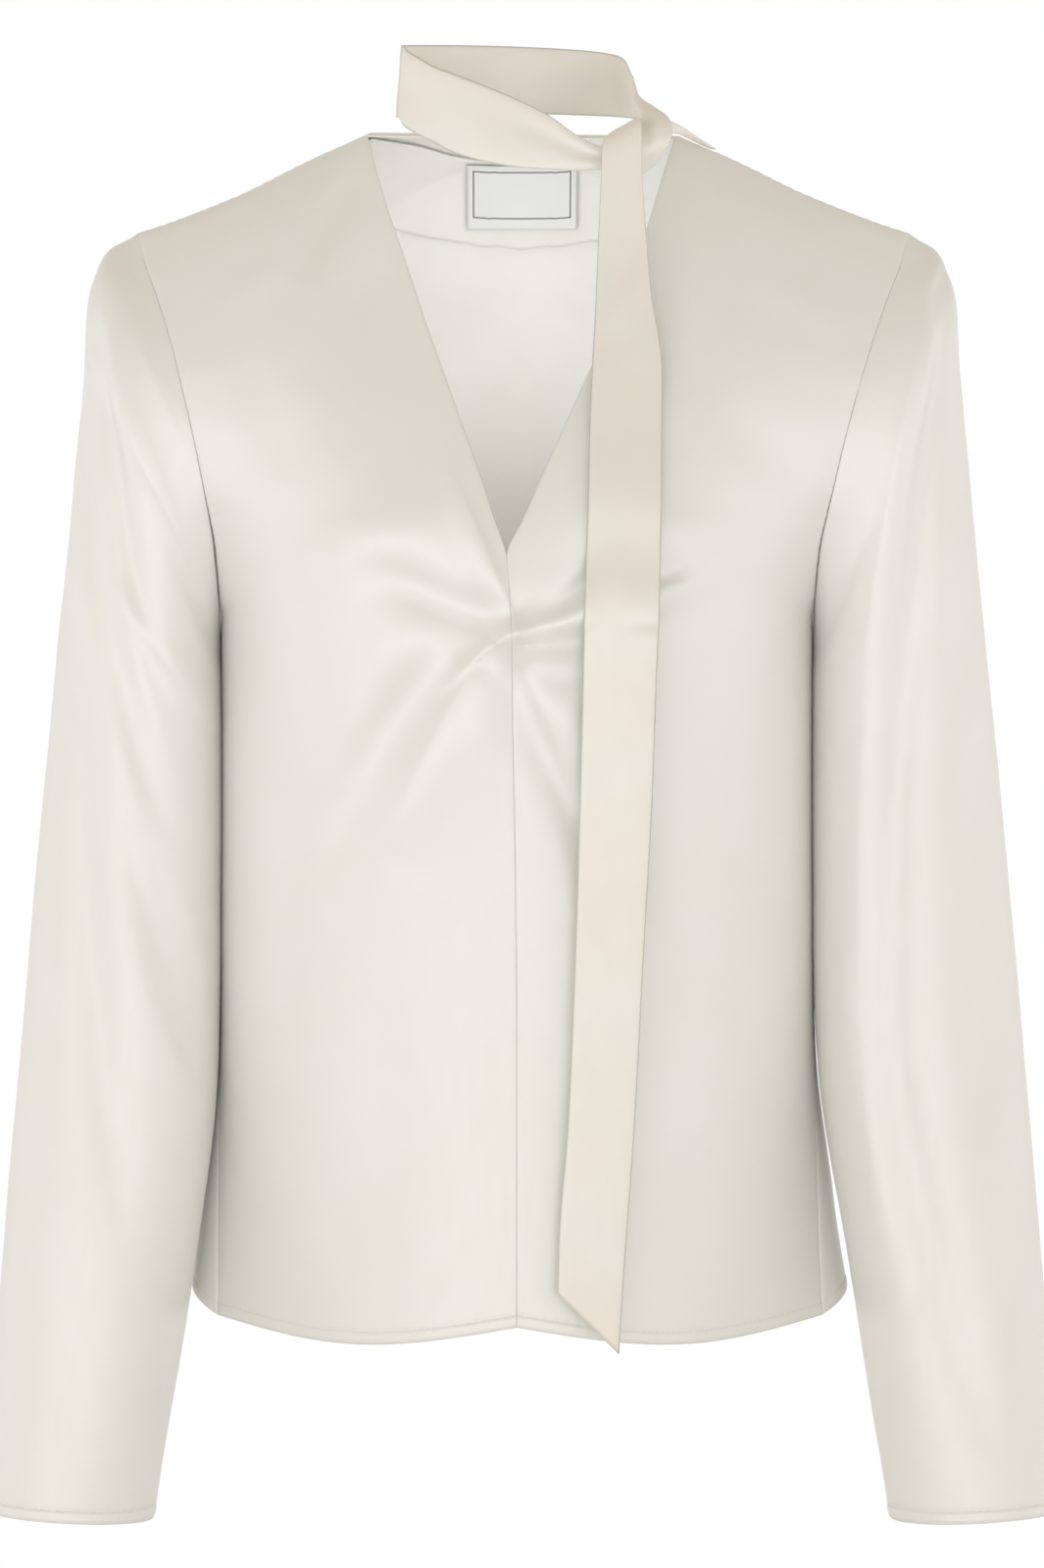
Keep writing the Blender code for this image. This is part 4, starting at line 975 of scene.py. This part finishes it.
def band_mesh(points, wall):
    """A pressed tube of cloth round a band's surface: faces and corners, its two ends closed."""
    normals = grid_normals(points, 1)
    rows, columns = points.shape[:2]
    share = np.linspace(-1.0, 1.0, columns)
    half = wall / 2 * np.sqrt(1 - np.abs(share) ** BAND_SQUARENESS)
    middle = points - normals * wall / 2
    upper = middle + normals * half[None, :, None]
    lower = middle - normals * half[None, :, None]
    loop = np.concatenate([upper, lower[:, -2:0:-1]], axis=1)
    count = loop.shape[1]
    corners = loop.reshape(-1, 3)
    faces = []
    for row in range(rows - 1):
        for place in range(count):
            after = (place + 1) % count
            faces.append((row * count + place, (row + 1) * count + place, (row + 1) * count + after,
                          row * count + after))
    last = (rows - 1) * count
    for place in range(columns - 1):
        mirror = (count - place) % count
        beyond = (count - place - 1) % count
        if place == 0:
            faces.append((0, 1, beyond))
            faces.append((last, last + beyond, last + 1))
        elif place == columns - 2:
            faces.append((place, columns - 1, mirror))
            faces.append((last + place, last + mirror, last + columns - 1))
        else:
            faces.append((place, place + 1, beyond, mirror))
            faces.append((last + place, last + mirror, last + beyond, last + place + 1))
    across = np.linalg.norm(points[:, -1] - points[:, 0], axis=-1).mean()
    steps = np.linalg.norm(np.diff(points[:, columns // 2], axis=0), axis=-1)
    down = np.concatenate([[0.0], np.cumsum(steps)])
    around = np.concatenate([share, share[-2:0:-1]]) * across / 2
    places = np.stack(np.broadcast_arrays(around[None, :], down[:, None]), -1)
    return corners, faces, places.reshape(-1, 2)


def grid_mesh(points, flip):
    """Corners, faces and cloth places of a grid."""
    rows, columns = points.shape[:2]
    number = np.arange(rows * columns).reshape(rows, columns)
    quads = np.stack([number[:-1, :-1], number[:-1, 1:], number[1:, 1:], number[1:, :-1]], -1).reshape(-1, 4)
    if flip:
        quads = quads[:, ::-1]
    across = distance_from(points, "first column")
    down = distance_from(points, "first row")
    return points.reshape(-1, 3), quads.tolist(), np.stack([across, down], -1).reshape(-1, 2)


def new_piece(name, corners, faces, places, materials, node):
    """A mesh piece that rides on the root, stands for a node and carries its cloth places as a UV map."""
    mesh = bpy.data.meshes.new(name)
    mesh.from_pydata((np.asarray(corners) * MM).tolist(), [], faces)
    layer = mesh.uv_layers.new(name="cloth")
    loops = np.empty(len(mesh.loops), int)
    mesh.loops.foreach_get("vertex_index", loops)
    layer.data.foreach_set("uv", (np.asarray(places)[loops] * MM).ravel())
    for material in materials:
        mesh.materials.append(material)
    mesh.shade_smooth()
    made = bpy.data.objects.new(name, mesh)
    bpy.context.scene.collection.objects.link(made)
    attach(made, "root")
    if node:
        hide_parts(node)
    return made


def weld(made, distance):
    """Joins the corners of grids that meet."""
    joined = made.modifiers.new("weld", "WELD")
    joined.merge_threshold = distance * MM


def thicken(made, wall):
    """Gives cloth its wall, on the side away from its outer face, with its reverse as the second material."""
    solid = made.modifiers.new("wall", "SOLIDIFY")
    solid.thickness = wall * MM
    solid.offset = -1.0
    solid.use_rim = True
    solid.material_offset = 1


def cloth_piece(name, points, outward, materials, wall=CLOTH_WALL):
    """A cut piece of cloth from the grid of its outer face and the way that it faces."""
    corners, faces, places = grid_mesh(points, outward < 0)
    made = new_piece(name + "_cloth", corners, faces, places, materials, name)
    weld(made, WELD_GAP)
    thicken(made, wall)
    return made


def tail_surface(front):
    """The hanging end's surface, laid on the left front panel's face."""
    points = band_surface(TIE_TAIL_ROWS, TIE_TAIL_CREASES)
    corners, faces, _ = grid_mesh(front, False)
    tree = BVHTree.FromPolygons([Vector(corner) for corner in corners], faces)
    clear = np.full(points.shape[:2], TAIL_FREE)
    for row in range(points.shape[0]):
        for place in range(points.shape[1]):
            x, _, z = points[row, place]
            if z < TAIL_TOUCHES:
                start = Vector((x, TAIL_RAY_START, max(z, TAIL_HEM)))
                hit = tree.ray_cast(start, Vector((0.0, 1.0, 0.0)))[0]
                if hit is not None:
                    clear[row, place] = hit.y - BAND_WALL - TAIL_CLEAR
    for row in range(points.shape[0]):
        low, high = max(row - TAIL_SMOOTH, 0), row + TAIL_SMOOTH + 1
        nearest = clear[low:high].min()
        if nearest < TAIL_FREE:
            lines = clear[low:high].min(axis=0)
            flat = np.minimum(lines, nearest + TAIL_FOLLOW)
            points[row, :, 1] = np.minimum(points[row, :, 1], flat)
    for _ in range(TAIL_PASSES):
        depth = points[:, :, 1]
        inner = (depth[:-2] + depth[1:-1] + depth[2:]) / 3
        points[1:-1, :, 1] = np.minimum(inner, depth[1:-1] + TAIL_GIVE)
    return points


def node_of(tree, kind, **inputs):
    """A new node with its sockets set by name, underscores for spaces."""
    made = tree.nodes.new(kind)
    for name, value in inputs.items():
        made.inputs[name.replace("_", " ")].default_value = value
    return made


def noise_node(tree, kind, vector):
    """A noise of this scale, detail and roughness at this vector."""
    scale, detail, roughness = kind
    made = node_of(tree, "ShaderNodeTexNoise", Scale=scale, Detail=detail, Roughness=roughness)
    tree.links.new(vector, made.inputs["Vector"])
    return made


def math_node(tree, operation, socket, other=None):
    """A node that works on a socket, with a number where the operation takes two."""
    made = tree.nodes.new("ShaderNodeMath")
    made.operation = operation
    tree.links.new(socket, made.inputs[0])
    if other is not None:
        made.inputs[1].default_value = other
    return made


def satin(name, colour, deep, look):
    """Satin or its duller reverse: long soft floats of thread, slubs and slight changes of tone."""
    roughness, lustre, sheen, weave = look
    made = bpy.data.materials.new(name)
    made.use_nodes = True
    tree = made.node_tree
    shader = tree.nodes["Principled BSDF"]
    place = tree.nodes.new("ShaderNodeUVMap")
    place.uv_map = "cloth"
    stretch = node_of(tree, "ShaderNodeMapping", Scale=THREAD_STRETCH)
    tree.links.new(place.outputs["UV"], stretch.inputs["Vector"])
    threads = noise_node(tree, THREAD_NOISE, stretch.outputs["Vector"])
    slubs = noise_node(tree, SLUB_NOISE, stretch.outputs["Vector"])
    tone = noise_node(tree, TONE_NOISE, place.outputs["UV"])
    mix = tree.nodes.new("ShaderNodeMix")
    mix.data_type = "RGBA"
    mix.inputs["A"].default_value = colour + (1.0,)
    mix.inputs["B"].default_value = deep + (1.0,)
    spread = node_of(tree, "ShaderNodeMapRange", From_Min=TONE_RANGE[0], From_Max=TONE_RANGE[1])
    tree.links.new(tone.outputs["Fac"], spread.inputs["Value"])
    tree.links.new(spread.outputs["Result"], mix.inputs["Factor"])
    tree.links.new(mix.outputs["Result"], shader.inputs["Base Color"])
    rough = node_of(tree, "ShaderNodeMapRange", From_Min=SLUB_RANGE[0], From_Max=SLUB_RANGE[1],
                    To_Min=roughness + ROUGHNESS_SPREAD[0], To_Max=roughness + ROUGHNESS_SPREAD[1])
    tree.links.new(slubs.outputs["Fac"], rough.inputs["Value"])
    tree.links.new(rough.outputs["Result"], shader.inputs["Roughness"])
    fine = node_of(tree, "ShaderNodeBump", Strength=weave, Distance=THREAD_DEPTH)
    tree.links.new(threads.outputs["Fac"], fine.inputs["Height"])
    coarse = node_of(tree, "ShaderNodeBump", Strength=SLUB_BUMP[0], Distance=SLUB_BUMP[1])
    tree.links.new(slubs.outputs["Fac"], coarse.inputs["Height"])
    tree.links.new(fine.outputs["Normal"], coarse.inputs["Normal"])
    tree.links.new(coarse.outputs["Normal"], shader.inputs["Normal"])
    shader.inputs["Sheen Weight"].default_value = sheen
    shader.inputs["Sheen Roughness"].default_value = SHEEN_ROUGHNESS
    shader.inputs["Sheen Tint"].default_value = SHEEN_TINT
    shader.inputs["Specular IOR Level"].default_value = SPECULAR_LEVEL
    shader.inputs["Metallic"].default_value = lustre
    return made


def label_material():
    """Woven label cloth with a plain thin line round it."""
    made = satin("label_weave", LABEL_CLOTH, LABEL_CLOTH, LABEL_LOOK)
    tree = made.node_tree
    shader = tree.nodes["Principled BSDF"]
    place = tree.nodes.new("ShaderNodeUVMap")
    place.uv_map = "cloth"
    split = tree.nodes.new("ShaderNodeSeparateXYZ")
    tree.links.new(place.outputs["UV"], split.inputs["Vector"])
    gaps = []
    for axis, size, inset in (("X", LABEL_WIDTH, LABEL_INSET_X), ("Y", LABEL_HEIGHT, LABEL_INSET_Y)):
        middle = math_node(tree, "SUBTRACT", split.outputs[axis], size * MM / 2)
        away = math_node(tree, "ABSOLUTE", middle.outputs[0])
        gaps.append(math_node(tree, "SUBTRACT", away.outputs[0], (size / 2 - inset) * MM))
    nearest = math_node(tree, "MAXIMUM", gaps[0].outputs[0])
    tree.links.new(gaps[1].outputs[0], nearest.inputs[1])
    off = math_node(tree, "ABSOLUTE", nearest.outputs[0])
    half = LABEL_LINE_HALF * MM
    line = node_of(tree, "ShaderNodeMapRange", From_Min=half, From_Max=2 * half, To_Min=1.0, To_Max=0.0)
    tree.links.new(off.outputs[0], line.inputs["Value"])
    mix = tree.nodes.new("ShaderNodeMix")
    mix.data_type = "RGBA"
    mix.inputs["B"].default_value = LABEL_LINE + (1.0,)
    tree.links.new(line.outputs["Result"], mix.inputs["Factor"])
    before = shader.inputs["Base Color"].links[0].from_socket
    tree.links.new(before, mix.inputs["A"])
    tree.links.new(mix.outputs["Result"], shader.inputs["Base Color"])
    return made


def read_line(at, places, values):
    """The vector at a place of a line whose vectors are given at its own places."""
    return np.array([np.interp(at, places, values[:, axis]) for axis in range(3)])


def stitch_run(points, normals):
    """A run of stitches along a line of points: small raised threads with round ends."""
    steps = np.linalg.norm(np.diff(points, axis=0), axis=-1)
    places = np.concatenate([[0.0], np.cumsum(steps)])
    length, gap, radius = STITCH
    corners, faces = [], []
    at = gap
    while at + length < places[-1]:
        first = len(corners)
        for share, size in STITCH_SECTIONS:
            here = read_line(at + share * length, places, points)
            ahead = read_line(at + share * length + STITCH_AHEAD, places, points)
            up = read_line(at + share * length, places, normals)
            heading = ahead - here
            heading = heading / max(np.linalg.norm(heading), TINY)
            wide = np.cross(heading, up)
            for corner in range(STITCH_CORNERS):
                turn = 2 * np.pi * corner / STITCH_CORNERS
                lift = np.sin(turn) * size * radius + radius * (STITCH_ARCH * np.sin(np.pi * share))
                corners.append(here + wide * np.cos(turn) * size * radius + up * lift)
        last = len(corners) - STITCH_CORNERS
        for start in range(first, last, STITCH_CORNERS):
            for corner in range(STITCH_CORNERS):
                a = start + corner
                b = start + (corner + 1) % STITCH_CORNERS
                faces.append((a, b, b + STITCH_CORNERS, a + STITCH_CORNERS))
        faces.append(tuple(first + corner for corner in reversed(range(STITCH_CORNERS))))
        faces.append(tuple(last + corner for corner in range(STITCH_CORNERS)))
        at += length + gap
    return corners, faces


def stitches(name, runs, material):
    """One piece with the stitches of several runs."""
    corners, faces = [], []
    for points, normals in runs:
        some_corners, some_faces = stitch_run(points, normals)
        faces.extend(tuple(len(corners) + number for number in face) for face in some_faces)
        corners.extend(some_corners)
    places = np.array(corners)[:, :2]
    return new_piece(name, np.array(corners), faces, places, [material], None)


def line_at(points, normals, edge, away):
    """The line of a grid that lies this far from an edge row, with its normals."""
    gap = distance_from(points, edge)
    line, up = [], []
    for place in range(points.shape[1]):
        order = np.argsort(gap[:, place])
        line.append(read_line(away, gap[order, place], points[order, place]))
        up.append(read_line(away, gap[order, place], normals[order, place]))
    return np.array(line), np.array(up)


def studio():
    """A white surround that darkens overhead, large soft lights in front, a pale floor and the camera."""
    world = bpy.data.worlds.new("studio")
    bpy.context.scene.world = world
    world.use_nodes = True
    tree = world.node_tree
    sky = tree.nodes["Background"]
    place = tree.nodes.new("ShaderNodeTexCoord")
    split = tree.nodes.new("ShaderNodeSeparateXYZ")
    tree.links.new(place.outputs["Generated"], split.inputs["Vector"])
    height = node_of(tree, "ShaderNodeMapRange", From_Min=-1.0, From_Max=1.0)
    tree.links.new(split.outputs["Z"], height.inputs["Value"])
    ramp = tree.nodes.new("ShaderNodeValToRGB")
    tree.links.new(height.outputs["Result"], ramp.inputs["Fac"])
    for number in (0, -1):
        ramp.color_ramp.elements[number].position = SKY_STOPS[number][0]
        ramp.color_ramp.elements[number].color = SKY_STOPS[number][1]
    for position, colour in SKY_STOPS[1:-1]:
        ramp.color_ramp.elements.new(position).color = colour
    depth = math_node(tree, "ABSOLUTE", split.outputs["Y"])
    sides = node_of(tree, "ShaderNodeMapRange", From_Min=SIDE_RANGE[0], From_Max=SIDE_RANGE[1],
                    To_Min=SIDE_LIGHT, To_Max=1.0)
    tree.links.new(depth.outputs[0], sides.inputs["Value"])
    dimmed = tree.nodes.new("ShaderNodeVectorMath")
    dimmed.operation = "SCALE"
    tree.links.new(ramp.outputs["Color"], dimmed.inputs[0])
    tree.links.new(sides.outputs["Result"], dimmed.inputs["Scale"])
    tree.links.new(dimmed.outputs["Vector"], sky.inputs["Color"])
    sky.inputs["Strength"].default_value = SKY_STRENGTH
    seen = node_of(tree, "ShaderNodeBackground", Color=WHITE, Strength=1.0)
    path = tree.nodes.new("ShaderNodeLightPath")
    pick = tree.nodes.new("ShaderNodeMixShader")
    tree.links.new(path.outputs["Is Camera Ray"], pick.inputs["Fac"])
    tree.links.new(sky.outputs["Background"], pick.inputs[1])
    tree.links.new(seen.outputs["Background"], pick.inputs[2])
    tree.links.new(pick.outputs["Shader"], tree.nodes["World Output"].inputs["Surface"])
    for name, place, aim, size, power, colour in SOFTBOXES:
        light = bpy.data.lights.new(name, "AREA")
        light.shape = "RECTANGLE"
        light.size, light.size_y = size
        light.energy = power
        light.color = colour
        made = bpy.data.objects.new(name, light)
        made.location = place
        made.rotation_euler = (Vector(aim) - Vector(place)).to_track_quat("-Z", "Y").to_euler()
        made.visible_camera = False
        bpy.context.scene.collection.objects.link(made)
    turn = np.linspace(0.0, 2 * np.pi, FLOOR_CORNERS + 1)[:-1]
    mesh = bpy.data.meshes.new("floor")
    level = np.full(FLOOR_CORNERS, FLOOR_Z)
    rim = np.stack([FLOOR_RADIUS * np.cos(turn), FLOOR_RADIUS * np.sin(turn), level], -1)
    mesh.from_pydata(rim.tolist(), [], [tuple(range(FLOOR_CORNERS))])
    floor = bpy.data.objects.new("floor", mesh)
    bpy.context.scene.collection.objects.link(floor)
    paint = bpy.data.materials.new("floor_paint")
    paint.use_nodes = True
    shader = paint.node_tree.nodes["Principled BSDF"]
    shader.inputs["Base Color"].default_value = FLOOR_COLOUR
    shader.inputs["Roughness"].default_value = FLOOR_ROUGHNESS
    mesh.materials.append(paint)
    lens = bpy.data.cameras.new("camera")
    lens.lens = SENSOR * FOCAL_PIXELS / FRAME_HEIGHT
    lens.sensor_width = SENSOR
    lens.sensor_fit = "AUTO"
    camera = bpy.data.objects.new("camera", lens)
    camera.location = CAMERA_PLACE
    camera.rotation_euler = (np.pi / 2, 0.0, 0.0)
    bpy.context.scene.collection.objects.link(camera)
    bpy.context.scene.camera = camera
    bpy.context.scene.view_settings.view_transform = "Standard"


def label_points(facing):
    """The label on the facing's own points, moved further in."""
    samples = facing.reshape(-1, 3)
    across, down = LABEL_LINES
    rows = []
    for z in np.linspace(LABEL_TOP, LABEL_TOP - LABEL_HEIGHT, down + 1):
        line = []
        for x in np.linspace(-LABEL_WIDTH / 2, LABEL_WIDTH / 2, across + 1):
            line.append((x, depth_over(samples, x, z) - WALL - LABEL_GAP, z))
        rows.append(line)
    return np.array(rows)


def build():
    """Every piece of the blouse with its cloth."""
    outer = satin("satin", SATIN, SATIN_DEEP, SATIN_LOOK)
    reverse = satin("satin_reverse", SATIN_BACK, SATIN, REVERSE_LOOK)
    tie = satin("tie_satin", TIE_SATIN, SATIN_DEEP, TIE_LOOK)
    label = label_material()
    thread = satin("thread", THREAD, THREAD, THREAD_LOOK)
    cloth = (outer, reverse)
    runs = []
    left_front = None
    for side, word in ((RIGHT, "right"), (LEFT, "left")):
        points, outward = front_cloth(side)
        cloth_piece("front_" + word, points, outward, cloth)
        runs.append(line_at(points, grid_normals(points, outward), "first row", HEM_BAND))
        left_front = points
    points = back_cloth()
    runs.append(line_at(points, grid_normals(points, 1), "last row", HEM_BAND))
    cloth_piece("back", points, 1, cloth)
    cuff_runs = {}
    for side, word in ((RIGHT, "right"), (LEFT, "left")):
        points, outward = sleeve_cloth(side)
        cloth_piece("sleeve_" + word, points, outward, cloth)
        cuff_runs[word] = line_at(points, grid_normals(points, outward), "last row", HEM_BAND)
    facing = facing_grid(*FACING_LINES)
    cloth_piece("neck_facing", facing, -1, (reverse, reverse))
    patch = label_points(facing)
    cloth_piece("neck_label", patch, -1, (label, label), LABEL_CLOTH_WALL)
    bands = {
        "tie_front": band_surface(TIE_FRONT_ROWS, TIE_FRONT_CREASES),
        "tie_back": band_surface(TIE_BACK_ROWS, TIE_BACK_CREASES),
        "tie_hitch": band_surface(TIE_HITCH_ROWS, TIE_HITCH_CREASES),
        "tie_tail": tail_surface(left_front),
    }
    for name, points in bands.items():
        corners, faces, places = band_mesh(points, BAND_WALL)
        new_piece(name + "_cloth", corners, faces, places, [tie], name)
    hem = stitches("hem_stitches", runs, thread)
    for word, run in cuff_runs.items():
        stitches("cuff_stitches_" + word, [run], thread)


studio()
build()
